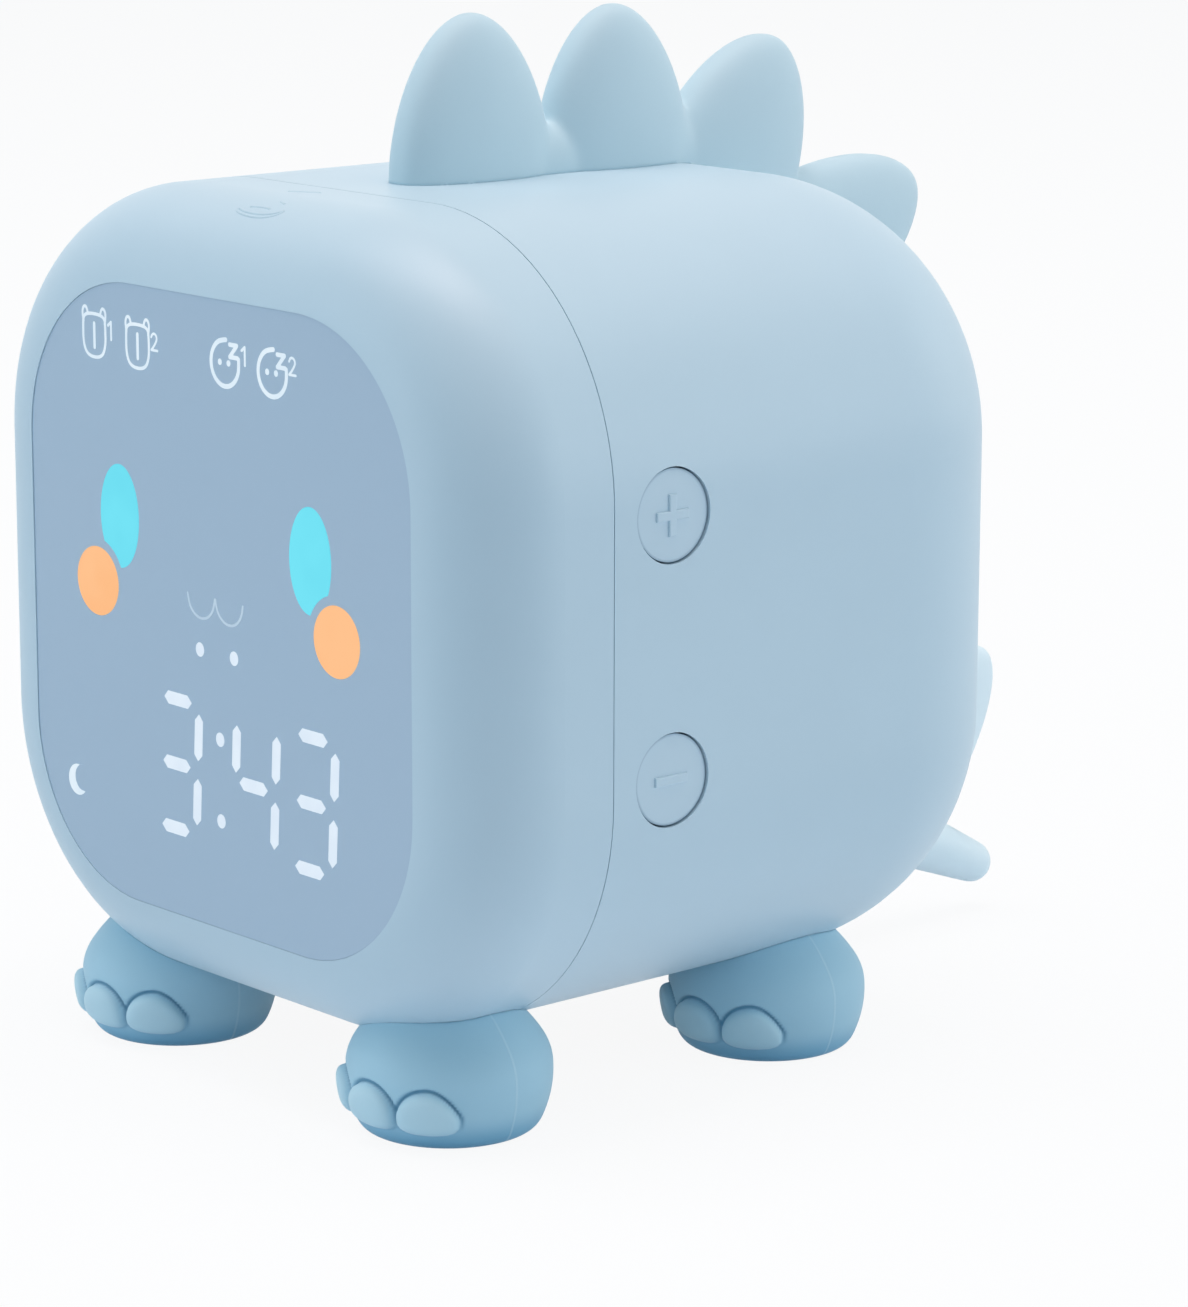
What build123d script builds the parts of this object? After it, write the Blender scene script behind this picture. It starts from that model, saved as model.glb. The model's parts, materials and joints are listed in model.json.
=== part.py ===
from build123d import *
import math
import os

# Children's alarm clock: a rounded cube case on four soft paws, with a soft crest and tail.
# Millimetres. X runs across the clock, Y from its face to its tail, Z up from the desk.
# The origin is on the desk under the middle of the clock's whole length, tail included.

os.makedirs("parts", exist_ok=True)

# Case: a rounded block in two shells that meet at a seam behind the face
clock_length = 119.2
case_width = 88.0
case_height = 87.6
case_depth = 85.0
case_lift = 9.2
corner_radius = 28.6
front_rim = 11.0
rear_rim = 24.0
wall = 2.2
seam_setback = 17.6
seam_gap = 0.12
tongue_length = 2.6
fit = 0.1
loose_fit = 0.3
skin_gap = 0.05
join_overlap = 0.3

# Snap bumps on the tongue between the two shells
snap_length = 8.0
snap_height = 0.5
snap_width = 1.2
snap_pitch = 24.0

# Display window and what lies behind it
window_width = 66.0
window_height = 68.0
window_corner = 18.3
window_drop = 0.25
window_recess = 0.12
window_thickness = 1.2
ledge_width = 1.6
film_thickness = 0.25
mask_depth = 6.0
mask_gap = 0.3
board_thickness = 1.6
board_margin = 3.2
board_corner = 3.0
boss_gap = 1.0
diffuser_depth = 2.0

# Marks in the display, measured from the middle of the window
eye_x = 16.7
eye_rise = 8.55
eye_half_width = 3.5
eye_half_height = 5.7
cheek_x = 21.0
cheek_rise = 0.75
cheek_radius = 3.83
cheek_gap = 1.0
mouth_width = 10.4
mouth_height = 7.8
mouth_rise = -1.3
digit_width = 6.8
digit_height = 14.4
digit_rise = -17.3
digit_pitch = 10.0
colon_pitch = 13.5
hour_x = -6.7
bar_thickness = 1.5
bar_gap = 0.4
colon_radius = 0.75
icon_width = 6.2
icon_height = 5.2
icon_corner = 2.4
icon_rise = 27.6
alarm_icon_x = -19.9
snooze_icon_x = 3.9
icon_pitch = 8.0
moon_x = -25.5
moon_rise = -22.5
moon_radius = 2.3
led_size = 1.4
led_height = 0.8

# Crest: soft lobes that follow the case over its top and upper back
crest_setback = 25.1
lobe_half_width = 10.6
lobe_height = 17.9
rear_lobe_height = 23.0
lobe_pitch = 20.4
third_lobe_pitch = 17.1
rear_lobe_pitch = 15.4
lobe_shoulder = 0.46
lobe_tip_share = 0.57
lobe_sink = 3.2
crest_half_thickness = 4.0
crest_rounding = 3.0
stem_half_width = 1.5
stem_fit = 0.15
stem_setback = 2.2
flange_half_width = 3.5
flange_thickness = 1.6
flange_lap = 1.2

# Tail, on an axis that slopes down behind the case
tail_seat_angle = 29.6
tail_slope = 24.4
tail_length = 37.4
tail_tip_radius = 2.65
tail_root_radius = 6.2
tail_stem_radius = 3.0
tail_barb_radius = 4.2
tail_barb_length = 3.5
tail_barb_gap = 0.9
tail_fin_place = 20.5
tail_fin_lean = 25.0
tail_fin_rise = 3.0
tail_fin_sink = 2.0
tail_fin_half_width = 10.0
tail_fin_height = 24.6
tail_fin_half_thickness = 2.6
tail_fin_rounding = 1.6

# Paws, with three toes each
paw_inset = 20.1
front_paw_setback = 12.3
rear_paw_setback = 58.5
sole_radius = 6.8
paw_radius = 10.9
paw_belly_height = 5.6
paw_shoulder_radius = 7.3
paw_shoulder_height = 13.6
toe_spread = 38.0
toe_half_width = 3.7
toe_half_height = 2.8
toe_half_depth = 2.6
toe_height = 4.1
toe_reach = 9.4
paw_stem_radius = 2.6
paw_barb_radius = 3.6
paw_barb_length = 3.0
paw_boss_radius = 4.2
paw_boss_rise = 0.4

# Push buttons, two on each side of the case
button_setback = 25.7
button_spread = 27.76
button_radius = 4.85
button_gap = 0.2
button_lap = 1.2
button_flange = 1.0
button_travel = 0.5
button_stem_radius = 2.0
button_stem_length = 1.3
button_recess = 0.3
sign_length = 4.4
sign_width = 1.0
sign_dot_radius = 1.1
sign_height = 0.25
sign_rounding = 0.15

# Switches behind the buttons
switch_size = 6.0
switch_height = 3.5
plunger_radius = 1.7
plunger_show = 1.5
plunger_sink = 0.8
plunger_slack = 0.2
switch_board_width = 12.0
switch_board_margin = 2.9

# Posts and screws
post_radius = 2.3
screw_radius = 0.95
screw_fit = 0.05
screw_grip = 4.5
screw_tip_gap = 0.2
head_radius = 1.9
head_height = 1.3
driver_length = 1.8
driver_width = 0.45
driver_depth = 0.7

# Main board, hung from the rear wall
main_standoff = 8.0
main_board_width = 56.0
main_board_height = 44.0
main_board_rise = 2.0
hole_inset = 4.0
chip_size = 9.0
chip_height = 1.2
chip_x = -9.0
chip_rise = 0.0
crystal_width = 8.0
crystal_depth = 3.2
crystal_height = 2.4

# Charging socket and reset switch at the rear wall
socket_width = 8.94
socket_height = 3.26
socket_wall = 0.35
socket_fit = 0.2
socket_recess = 0.3
socket_x = -13.0
socket_rise = 4.0
socket_bore = 6.5
contact_width = 6.6
contact_thickness = 0.7
pin_radius = 0.8
reset_size = 3.4
reset_height = 2.0

# Speaker, behind a grille in the rear wall
speaker_radius = 14.0
speaker_rim = 3.2
speaker_rim_width = 2.2
speaker_depth = 4.4
speaker_back_radius = 8.5
speaker_shell = 0.8
speaker_ring_wall = 1.2
magnet_radius = 7.5
magnet_height = 1.6
cone_thickness = 0.5
cone_apex_radius = 3.0
gasket_thickness = 0.5
grille_radius = 0.9
grille_pitch = 3.4
grille_rings = 3
grille_ring_step = 6
clamp_lip = 1.2
clamp_thickness = 1.0
clamp_post_gap = 0.4

# Battery on the case floor
battery_width = 34.0
battery_length = 44.0
battery_height = 7.0
battery_offset = -3.0
battery_rounding = 1.5
foam_thickness = 0.8
foam_length = 34.0
strap_width = 12.0
strap_thickness = 1.5
strap_ear = 6.0

# Night-light board under the crest
night_board_width = 20.0
night_board_length = 34.0
night_board_drop = 6.6
night_led_size = 3.2
night_led_height = 1.2
night_led_count = 5
night_led_pitch = 6.0

# Touch plate under the top of the front bezel
touch_width = 14.0
touch_length = 4.6
touch_thickness = 0.3

# Wiring
lead_radius = 0.6
plug_width = 5.0
plug_length = 4.0
plug_height = 3.0
ribbon_width = 12.0
ribbon_thickness = 0.3
ribbon_socket_width = 14.0
ribbon_socket_height = 4.0
ribbon_socket_depth = 2.0
ribbon_rise = 10.0
bend_radius = 5.0
battery_lead_x = 10.0

# Places that follow from the sizes
front_y = -clock_length / 2
back_y = front_y + case_depth
top_z = case_lift + case_height
mid_z = case_lift + case_height / 2
side_x = case_width / 2
seam_y = front_y + seam_setback
window_z = mid_z - window_drop
window_back = front_y + window_recess + window_thickness
film_back = window_back + film_thickness
display_front = film_back + mask_depth
display_back = display_front + board_thickness
cavity_front = front_y + wall
cavity_back = back_y - wall
cavity_side = side_x - wall
cavity_floor = case_lift + wall
cavity_top = top_z - wall
main_back = cavity_back - main_standoff
main_front = main_back - board_thickness
main_z = mid_z + main_board_rise
button_y = front_y + button_setback
paw_x = side_x - paw_inset
front_paw_y = front_y + front_paw_setback
rear_paw_y = front_y + rear_paw_setback
battery_y = (front_y + back_y) / 2 + battery_offset
pilot_radius = screw_radius + screw_fit
switch_post_spread = button_spread + 2 * (button_radius + button_lap + post_radius + loose_fit)


def facing(y):
    """The upright plane at y that faces the front of the clock."""
    return Plane.XZ.offset(-y)


def beside(hand, x):
    """The upright plane at x on the right (hand 1) or left (hand -1) that faces outwards."""
    return Plane(origin=(hand * x, 0, 0), x_dir=(0, hand, 0), z_dir=(hand, 0, 0))


def case_outline(inset, mode=Mode.ADD):
    """The case's rounded square, seen from the front, in the current sketch."""
    with Locations((0, mid_z)):
        RectangleRounded(
            case_width - 2 * inset,
            case_height - 2 * inset,
            corner_radius - inset,
            mode=mode,
        )


def case_form(inset):
    """The rounded block of the case with every face moved inwards by inset."""
    with BuildPart() as form:
        with BuildSketch(facing(back_y - inset)):
            case_outline(inset)
        extrude(amount=case_depth - 2 * inset)
        fillet(form.faces().sort_by(Axis.Y)[0].edges(), front_rim - inset)
        fillet(form.faces().sort_by(Axis.Y)[-1].edges(), rear_rim - inset)
    return form.part


def case_ring(near_y, far_y, outer_inset, inner_inset):
    """A band of the case's wall, between two depths below its outside."""
    with BuildPart() as ring:
        with BuildSketch(facing(far_y)):
            case_outline(outer_inset)
            case_outline(inner_inset, mode=Mode.SUBTRACT)
        extrude(amount=far_y - near_y)
    return ring.part


def slab(near_y, far_y):
    """A block wider than the clock between two planes that face the front."""
    with BuildPart() as block:
        with Locations((0, (near_y + far_y) / 2, mid_z)):
            Box(2 * case_width, far_y - near_y, 2 * case_height)
    return block.part


def snap_blocks(reach, width, length):
    """Two blocks on each side, above and below, that stand out of the tongue by reach."""
    middle = seam_y + tongue_length / 2
    inset = wall / 2 + fit
    with BuildPart() as blocks:
        for step in (-snap_pitch / 2, snap_pitch / 2):
            for hand in (-1, 1):
                with Locations((hand * (side_x - inset), middle, mid_z + step)):
                    Box(2 * reach, width, length)
                with Locations((step, middle, mid_z + hand * (case_height / 2 - inset))):
                    Box(length, width, 2 * reach)
    return blocks.part


outer_form = case_form(0)
inner_form = case_form(wall)
middle_form = case_form(wall / 2)
skin_form = case_form(-skin_gap)


def posts(seat, places, reach, plate=board_thickness):
    """Posts from the case wall to the seat plane, bored for screws through a plate on them.

    The reach is signed along the seat's normal.
    """
    way = math.copysign(1, reach)
    with BuildPart() as group:
        with BuildSketch(seat):
            with Locations(*places):
                Circle(post_radius)
        extrude(amount=reach)
        add(middle_form, mode=Mode.INTERSECT)
        with BuildSketch(seat):
            with Locations(*places):
                Circle(pilot_radius)
        extrude(amount=way * (screw_grip + screw_tip_gap - plate), mode=Mode.SUBTRACT)
    return group.part


def screws(seat, places, way):
    """Pan head screws on the seat plane; their shanks go way (1 or -1) along its normal."""
    with BuildPart() as group:
        with BuildSketch(seat):
            with Locations(*places):
                Circle(head_radius)
        extrude(amount=-way * head_height)
        ends = group.faces().group_by(Axis(seat.origin, seat.z_dir))
        crowns = ends[0] if way > 0 else ends[-1]
        fillet(crowns.edges(), head_height / 3)
        with BuildSketch(seat):
            with Locations(*places):
                Circle(screw_radius)
        extrude(amount=way * screw_grip)
        with BuildSketch(seat.offset(-way * head_height)):
            with Locations(*places):
                Rectangle(driver_length, driver_width)
                Rectangle(driver_width, driver_length)
        extrude(amount=way * driver_depth, mode=Mode.SUBTRACT)
    return group.part


def board(plane, middle, width, height, holes, depth):
    """A circuit board that goes depth (signed) from the plane, with a hole for each screw."""
    with BuildPart() as plate:
        with BuildSketch(plane):
            with Locations(middle):
                RectangleRounded(width, height, board_corner)
            with Locations(*holes):
                Circle(pilot_radius + fit, mode=Mode.SUBTRACT)
        extrude(amount=depth)
    return plate.part


def blocks(plane, middles, width, height, depth):
    """Boxes that stand on the plane by depth (signed) around each middle."""
    with BuildPart() as group:
        with BuildSketch(plane):
            with Locations(*middles):
                Rectangle(width, height)
        extrude(amount=depth)
    return group.part


def corners(middle, spread_x, spread_y):
    """The four corners of a rectangle around its middle."""
    x, y = middle
    return [(x + i * spread_x, y + j * spread_y) for i in (-1, 1) for j in (-1, 1)]


def round_lead(*points):
    """A round wire along straight runs joined by bends."""
    start = Vector(*points[0])
    with BuildPart() as wire:
        with BuildLine():
            path = FilletPolyline(*points, radius=bend_radius)
        with BuildSketch(Plane(origin=start, z_dir=Vector(*points[1]) - start)):
            Circle(lead_radius)
        sweep(path=path)
    return wire.part


def lobe_outline(base, turn, half_width, height, sink):
    """The edge of a leaf-shaped lobe in YZ that reaches sink below its base.

    The turn is the lobe's tilt from upright, in radians.
    """
    out_y = math.sin(turn)
    out_z = math.cos(turn)

    def place(across, out):
        return base[0] + across * out_z + out * out_y, base[1] - across * out_y + out * out_z

    for hand in (-1, 1):
        Line(place(hand * half_width, -sink), place(hand * half_width, 0))
        Bezier(
            place(hand * half_width, 0),
            place(hand * half_width, lobe_shoulder * height),
            place(hand * half_width * lobe_tip_share, height),
            place(0, height),
        )
    Line(place(-half_width, -sink), place(half_width, -sink))


def soft_lobe(base, turn, half_width, height, sink, half_thickness, rounding):
    """A lobe with rounded edges, upright in YZ on the middle of the clock."""
    with BuildPart() as lobe:
        with BuildSketch(Plane.YZ):
            with BuildLine():
                lobe_outline(base, turn, half_width, height, sink)
            make_face()
        extrude(amount=half_thickness, both=True)
        fillet(lobe.faces().filter_by(Axis.X).edges(), rounding)
    return lobe.part


# Display marks as prisms: the mask's cells when grown, the diffusers in them when not


def eye_prisms(near_y, far_y, grow):
    """Two upright ovals, each with a round bite around its cheek."""
    with BuildPart() as prisms:
        with BuildSketch(facing(far_y)):
            with Locations((-eye_x, window_z + eye_rise), (eye_x, window_z + eye_rise)):
                Ellipse(eye_half_width + grow, eye_half_height + grow)
            with Locations((-cheek_x, window_z + cheek_rise), (cheek_x, window_z + cheek_rise)):
                Circle(cheek_radius + cheek_gap - grow, mode=Mode.SUBTRACT)
        extrude(amount=far_y - near_y)
    return prisms.part


def cheek_prisms(near_y, far_y, grow):
    """Two round cheeks."""
    with BuildPart() as prisms:
        with BuildSketch(facing(far_y)):
            with Locations((-cheek_x, window_z + cheek_rise), (cheek_x, window_z + cheek_rise)):
                Circle(cheek_radius + grow)
        extrude(amount=far_y - near_y)
    return prisms.part


digit_z = window_z + digit_rise
minute_x = hour_x + colon_pitch
digit_places = [hour_x - digit_pitch, hour_x, minute_x, minute_x + digit_pitch]
colon_x = (hour_x + minute_x) / 2
level_bars = [(x, digit_z + step * digit_height / 2) for x in digit_places for step in (-1, 0, 1)]
upright_bars = [
    (x + hand * digit_width / 2, digit_z + step * digit_height / 4)
    for x in digit_places
    for hand in (-1, 1)
    for step in (-1, 1)
]
colon_dots = [(colon_x, digit_z + step * digit_height / 4) for step in (-1, 1)]


def bar_outline(length, grow, turn):
    """A six-sided bar with a point at each end, in the current sketch."""
    half, reach = bar_thickness / 2 + grow, length / 2 + grow
    ends = [(reach, 0), (reach - half, half), (half - reach, half)]
    Polygon(*ends, *[(-x, -y) for x, y in ends], rotation=turn)


def digit_prisms(near_y, far_y, grow):
    """Seven bars for each of four digits, and the colon's two dots."""
    level_length = digit_width - bar_thickness - bar_gap + bar_thickness / 2
    upright_length = digit_height / 2 - bar_thickness / 2 - 2 * bar_gap
    with BuildPart() as prisms:
        with BuildSketch(facing(far_y)):
            with Locations(*level_bars):
                bar_outline(level_length - bar_gap, grow, 0)
            with Locations(*upright_bars):
                bar_outline(upright_length, grow, 90)
            with Locations(*colon_dots):
                Circle(colon_radius + grow)
        extrude(amount=far_y - near_y)
    return prisms.part


moon_place = (moon_x, window_z + moon_rise)
mouth_place = (0, window_z + mouth_rise)
icon_places = [
    (start + step * icon_pitch, window_z + icon_rise)
    for start in (alarm_icon_x, snooze_icon_x)
    for step in (0, 1)
]


def icon_prisms(near_y, far_y, grow):
    """Cells for the four pictograms, the moon, and the nose and mouth."""
    with BuildPart() as prisms:
        with BuildSketch(facing(far_y)):
            with Locations(*icon_places):
                RectangleRounded(icon_width + 2 * grow, icon_height + 2 * grow, icon_corner + grow)
            with Locations(moon_place):
                Circle(moon_radius + grow)
            with Locations(mouth_place):
                Rectangle(mouth_width + 2 * grow, mouth_height + 2 * grow)
        extrude(amount=far_y - near_y)
    return prisms.part


# Display board bosses stand on the window's ledge, outside the corners of its opening
boss_corner = window_corner - ledge_width + post_radius + boss_gap
boss_arm = (boss_corner + board_margin - board_corner) / math.sqrt(2)
display_holes = corners(
    (0, window_z),
    window_width / 2 - window_corner + boss_arm,
    window_height / 2 - window_corner + boss_arm,
)
display_board_width = 2 * (display_holes[-1][0] + board_margin)
display_board_height = 2 * (display_holes[-1][1] - window_z + board_margin)

# Paw sockets: a flat-topped boss on the curved floor around each hole
paw_places = [(hand * paw_x, y) for y in (front_paw_y, rear_paw_y) for hand in (1, -1)]


def floor_height(x):
    """Height of the case's inner floor at x, where its lower corners curve up."""
    bend = max(0, x - (side_x - corner_radius))
    return case_lift + corner_radius - math.sqrt((corner_radius - wall) ** 2 - bend**2)


paw_seat = floor_height(paw_x + paw_boss_radius) + paw_boss_rise


def paw_bosses(places):
    """Flat-topped bosses on the case floor."""
    with BuildPart() as bosses:
        with BuildSketch(Plane.XY.offset(paw_seat)):
            with Locations(*places):
                Circle(paw_boss_radius)
        extrude(amount=case_lift - paw_seat)
        add(middle_form, mode=Mode.INTERSECT)
    return bosses.part


def paw_holes(places):
    """Round holes for the paw stems, through the floor and the bosses."""
    with BuildPart() as holes:
        with BuildSketch():
            with Locations(*places):
                Circle(paw_stem_radius + fit)
        extrude(amount=paw_seat + wall)
    return holes.part


# Front bezel: the case in front of the seam, with the window's seat and the tongue
with BuildPart() as front_bezel:
    add(outer_form)
    add(inner_form, mode=Mode.SUBTRACT)
    add(slab(front_y - case_depth, seam_y - seam_gap / 2), mode=Mode.INTERSECT)
    add(case_ring(seam_y - tongue_length, seam_y + tongue_length, wall / 2 + fit, wall))
    add(snap_blocks(snap_height, snap_width, snap_length))
    with BuildSketch(facing(window_back)):
        with Locations((0, window_z)):
            RectangleRounded(window_width + 2 * fit, window_height + 2 * fit, window_corner + fit)
    extrude(amount=wall + window_recess, mode=Mode.SUBTRACT)
    with BuildSketch(facing(cavity_front + wall)):
        with Locations((0, window_z)):
            RectangleRounded(
                window_width - 2 * ledge_width,
                window_height - 2 * ledge_width,
                window_corner - ledge_width,
            )
    extrude(amount=2 * wall, mode=Mode.SUBTRACT)
    add(posts(facing(display_front), display_holes, display_front - cavity_front + join_overlap))
    add(paw_bosses(paw_places[:2]))
    add(paw_holes(paw_places[:2]), mode=Mode.SUBTRACT)
front_bezel.part.label = "front_bezel"
export_step(front_bezel.part, "parts/front_bezel.step")

# Display window, film, mask and diffusers
with BuildPart() as display_window:
    with BuildSketch(facing(window_back)):
        with Locations((0, window_z)):
            RectangleRounded(window_width, window_height, window_corner)
    extrude(amount=window_thickness)
display_window.part.label = "display_window"
export_step(display_window.part, "parts/display_window.step")

mask_width = window_width - 2 * ledge_width - 2 * mask_gap
mask_height = window_height - 2 * ledge_width - 2 * mask_gap
mask_corner = window_corner - ledge_width - mask_gap
with BuildPart() as display_film:
    with BuildSketch(facing(film_back)):
        with Locations((0, window_z)):
            RectangleRounded(mask_width, mask_height, mask_corner)
    extrude(amount=film_thickness)
display_film.part.label = "display_film"
export_step(display_film.part, "parts/display_film.step")

with BuildPart() as light_mask:
    with BuildSketch(facing(display_front)):
        with Locations((0, window_z)):
            RectangleRounded(mask_width, mask_height, mask_corner)
    extrude(amount=mask_depth)
    add(eye_prisms(film_back, display_front, fit), mode=Mode.SUBTRACT)
    add(cheek_prisms(film_back, display_front, fit), mode=Mode.SUBTRACT)
    add(digit_prisms(film_back, display_front, fit), mode=Mode.SUBTRACT)
    add(icon_prisms(film_back, display_front, fit), mode=Mode.SUBTRACT)
light_mask.part.label = "light_mask"
export_step(light_mask.part, "parts/light_mask.step")

for name, prisms in (
    ("eye_diffusers", eye_prisms),
    ("cheek_diffusers", cheek_prisms),
    ("digit_diffusers", digit_prisms),
    ("icon_diffusers", icon_prisms),
):
    diffusers = prisms(film_back, film_back + diffuser_depth, 0)
    diffusers.label = name
    export_step(diffusers, f"parts/{name}.step")

# Display board with its diodes, driver and screws
display_plane = facing(display_front)
display_board = board(
    display_plane, (0, window_z), display_board_width, display_board_height, display_holes, -board_thickness
)
display_board.label = "display_board"
export_step(display_board, "parts/display_board.step")

face_lights = [
    place
    for hand in (-1, 1)
    for place in (
        (hand * eye_x, window_z + eye_rise),
        (hand * eye_x, window_z + eye_rise + eye_half_height / 2),
        (hand * cheek_x, window_z + cheek_rise),
    )
]
small_lights = [*icon_places, moon_place, mouth_place]
for name, places, size in (
    ("digit_leds", level_bars + upright_bars, led_size),
    ("face_leds", face_lights, 2 * led_size),
    ("icon_leds", small_lights, 2 * led_size),
):
    leds = blocks(display_plane, places, size, min(size, led_size), led_height)
    leds.label = name
    export_step(leds, f"parts/{name}.step")

driver_places = [(chip_x, window_z + chip_rise)]
display_driver = blocks(facing(display_back), driver_places, chip_size, chip_size, -chip_height)
display_driver.label = "display_driver"
export_step(display_driver, "parts/display_driver.step")

display_screws = screws(facing(display_back), display_holes, 1)
display_screws.label = "display_screws"
export_step(display_screws, "parts/display_screws.step")

# Touch plate under the top of the bezel, between its front rim and the seam
touch_y = (front_y + front_rim + seam_y) / 2
with BuildPart() as touch_plate:
    with BuildSketch(Plane.XY.offset(cavity_top)):
        with Locations((0, touch_y)):
            Rectangle(touch_width, touch_length)
    extrude(amount=-touch_thickness)
touch_plate.part.label = "touch_plate"
export_step(touch_plate.part, "parts/touch_plate.step")


# Crest: its path runs straight over the top and then round the rear rim
crest_front = front_y + crest_setback
crest_straight = back_y - rear_rim - crest_front


def crest_turn(along):
    """How far the case has curved down at a distance along the crest, in radians."""
    return min(max(0, along - crest_straight) / rear_rim, math.pi / 2)


def crest_point(along, out):
    """The point at a distance along the crest and out from the case's skin, as (y, z)."""
    turn = crest_turn(along)
    straight = min(along, crest_straight)
    drop = max(0, along - crest_straight - rear_rim * math.pi / 2)
    y = crest_front + straight + (rear_rim + out) * math.sin(turn)
    z = top_z - rear_rim + (rear_rim + out) * math.cos(turn) - drop
    return y, z


def crest_band(start, end, low, high, half_width):
    """A curved bar that follows the crest's path between two depths."""
    middle = (crest_straight + end) / 2
    with BuildPart() as band:
        with BuildSketch(Plane.YZ):
            with BuildLine():
                for out in (low, high):
                    Line(crest_point(start, out), crest_point(crest_straight, out))
                    ThreePointArc(
                        crest_point(crest_straight, out),
                        crest_point(middle, out),
                        crest_point(end, out),
                    )
                Line(crest_point(start, low), crest_point(start, high))
                Line(crest_point(end, low), crest_point(end, high))
            make_face()
        extrude(amount=half_width, both=True)
    return band.part


lobe_places = [
    (lobe_half_width, lobe_height),
    (lobe_half_width + lobe_pitch, lobe_height),
    (lobe_half_width + lobe_pitch + third_lobe_pitch, lobe_height),
    (lobe_half_width + lobe_pitch + third_lobe_pitch + rear_lobe_pitch, rear_lobe_height),
]
crest_end = min(
    lobe_places[-1][0] + lobe_half_width,
    crest_straight + rear_rim * math.pi / 2,
) - flange_lap
with BuildPart() as crest:
    for along, height in lobe_places:
        base = crest_point(along, 0)
        turn = crest_turn(along)
        lobe = soft_lobe(
            base, turn, lobe_half_width, height, lobe_sink, crest_half_thickness, crest_rounding
        )
        add(lobe)
    add(skin_form, mode=Mode.SUBTRACT)
    add(crest_band(stem_setback, crest_end, -wall - 2 * skin_gap, join_overlap, stem_half_width))
    add(
        crest_band(
            stem_setback - flange_lap,
            crest_end + flange_lap,
            -wall - skin_gap - flange_thickness,
            -wall - skin_gap,
            flange_half_width,
        )
    )
crest.part.label = "crest"
export_step(crest.part, "parts/crest.step")

# Tail: a tapered cone with a fin, plugged into the lower rear rim
slope = math.radians(tail_slope)
seat_angle = math.radians(tail_seat_angle)
tail_seat_y = back_y - rear_rim + rear_rim * math.cos(seat_angle)
tail_seat_z = case_lift + rear_rim - rear_rim * math.sin(seat_angle)
tail_tip_y = tail_seat_y + tail_length * math.cos(slope)
tail_tip_z = tail_seat_z - tail_length * math.sin(slope)
tail_side = Plane(
    origin=(0, tail_tip_y, tail_tip_z),
    x_dir=(0, -math.cos(slope), math.sin(slope)),
    z_dir=(-1, 0, 0),
)
tail_axis = Axis((0, tail_tip_y, tail_tip_z), (0, -math.cos(slope), math.sin(slope)))
tail_seat = Plane(
    origin=(0, tail_seat_y, tail_seat_z),
    x_dir=(1, 0, 0),
    z_dir=(0, -math.cos(slope), math.sin(slope)),
)
barb_start = wall + tail_barb_gap
fin_turn = slope + math.radians(tail_fin_lean)
fin_base_y = tail_tip_y - tail_fin_place * math.cos(slope) + tail_fin_rise * math.sin(fin_turn)
fin_base_z = tail_tip_z + tail_fin_place * math.sin(slope) + tail_fin_rise * math.cos(fin_turn)
tail_fin = soft_lobe(
    (fin_base_y, fin_base_z),
    fin_turn,
    tail_fin_half_width,
    tail_fin_height,
    tail_fin_sink,
    tail_fin_half_thickness,
    tail_fin_rounding,
)
with BuildPart() as tail:
    with BuildSketch(tail_side):
        with BuildLine():
            tip_arc = RadiusArc((-tail_tip_radius, 0), (0, tail_tip_radius), tail_tip_radius)
            Line(tip_arc @ 1, (tail_length + wall, tail_root_radius))
            Line((tail_length + wall, tail_root_radius), (tail_length + wall, 0))
            Line((tail_length + wall, 0), tip_arc @ 0)
        make_face()
    revolve(axis=tail_axis)
    add(tail_fin)
    add(skin_form, mode=Mode.SUBTRACT)
    with BuildSketch(tail_seat.offset(-join_overlap)):
        Circle(tail_stem_radius)
    extrude(amount=barb_start + join_overlap)
    with BuildSketch(tail_seat.offset(barb_start)):
        Circle(tail_barb_radius)
    with BuildSketch(tail_seat.offset(barb_start + tail_barb_length)):
        Circle(tail_stem_radius)
    loft()
tail.part.label = "tail"
export_step(tail.part, "parts/tail.step")

# Paws: a soft dome with three toes, clipped to the case's skin, with a barbed stem
with BuildPart() as paw_form:
    with BuildSketch(Plane.XZ):
        with BuildLine():
            Line((0, 0), (sole_radius, 0))
            Bezier(
                (sole_radius, 0),
                ((sole_radius + 2 * paw_radius) / 3, 0),
                (paw_radius, paw_belly_height / 2),
                (paw_radius, paw_belly_height),
            )
            Bezier(
                (paw_radius, paw_belly_height),
                (paw_radius, (paw_belly_height + paw_shoulder_height) / 2),
                ((paw_shoulder_radius + paw_radius) / 2, paw_shoulder_height - lobe_sink / 2),
                (paw_shoulder_radius, paw_shoulder_height),
            )
            Line((paw_shoulder_radius, paw_shoulder_height), (0, paw_seat + lobe_sink))
            Line((0, paw_seat + lobe_sink), (0, 0))
        make_face()
    revolve(axis=Axis.Z)

with BuildPart() as toe_form:
    Sphere(1)
    scale(by=(toe_half_width, toe_half_depth, toe_half_height))

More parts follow.
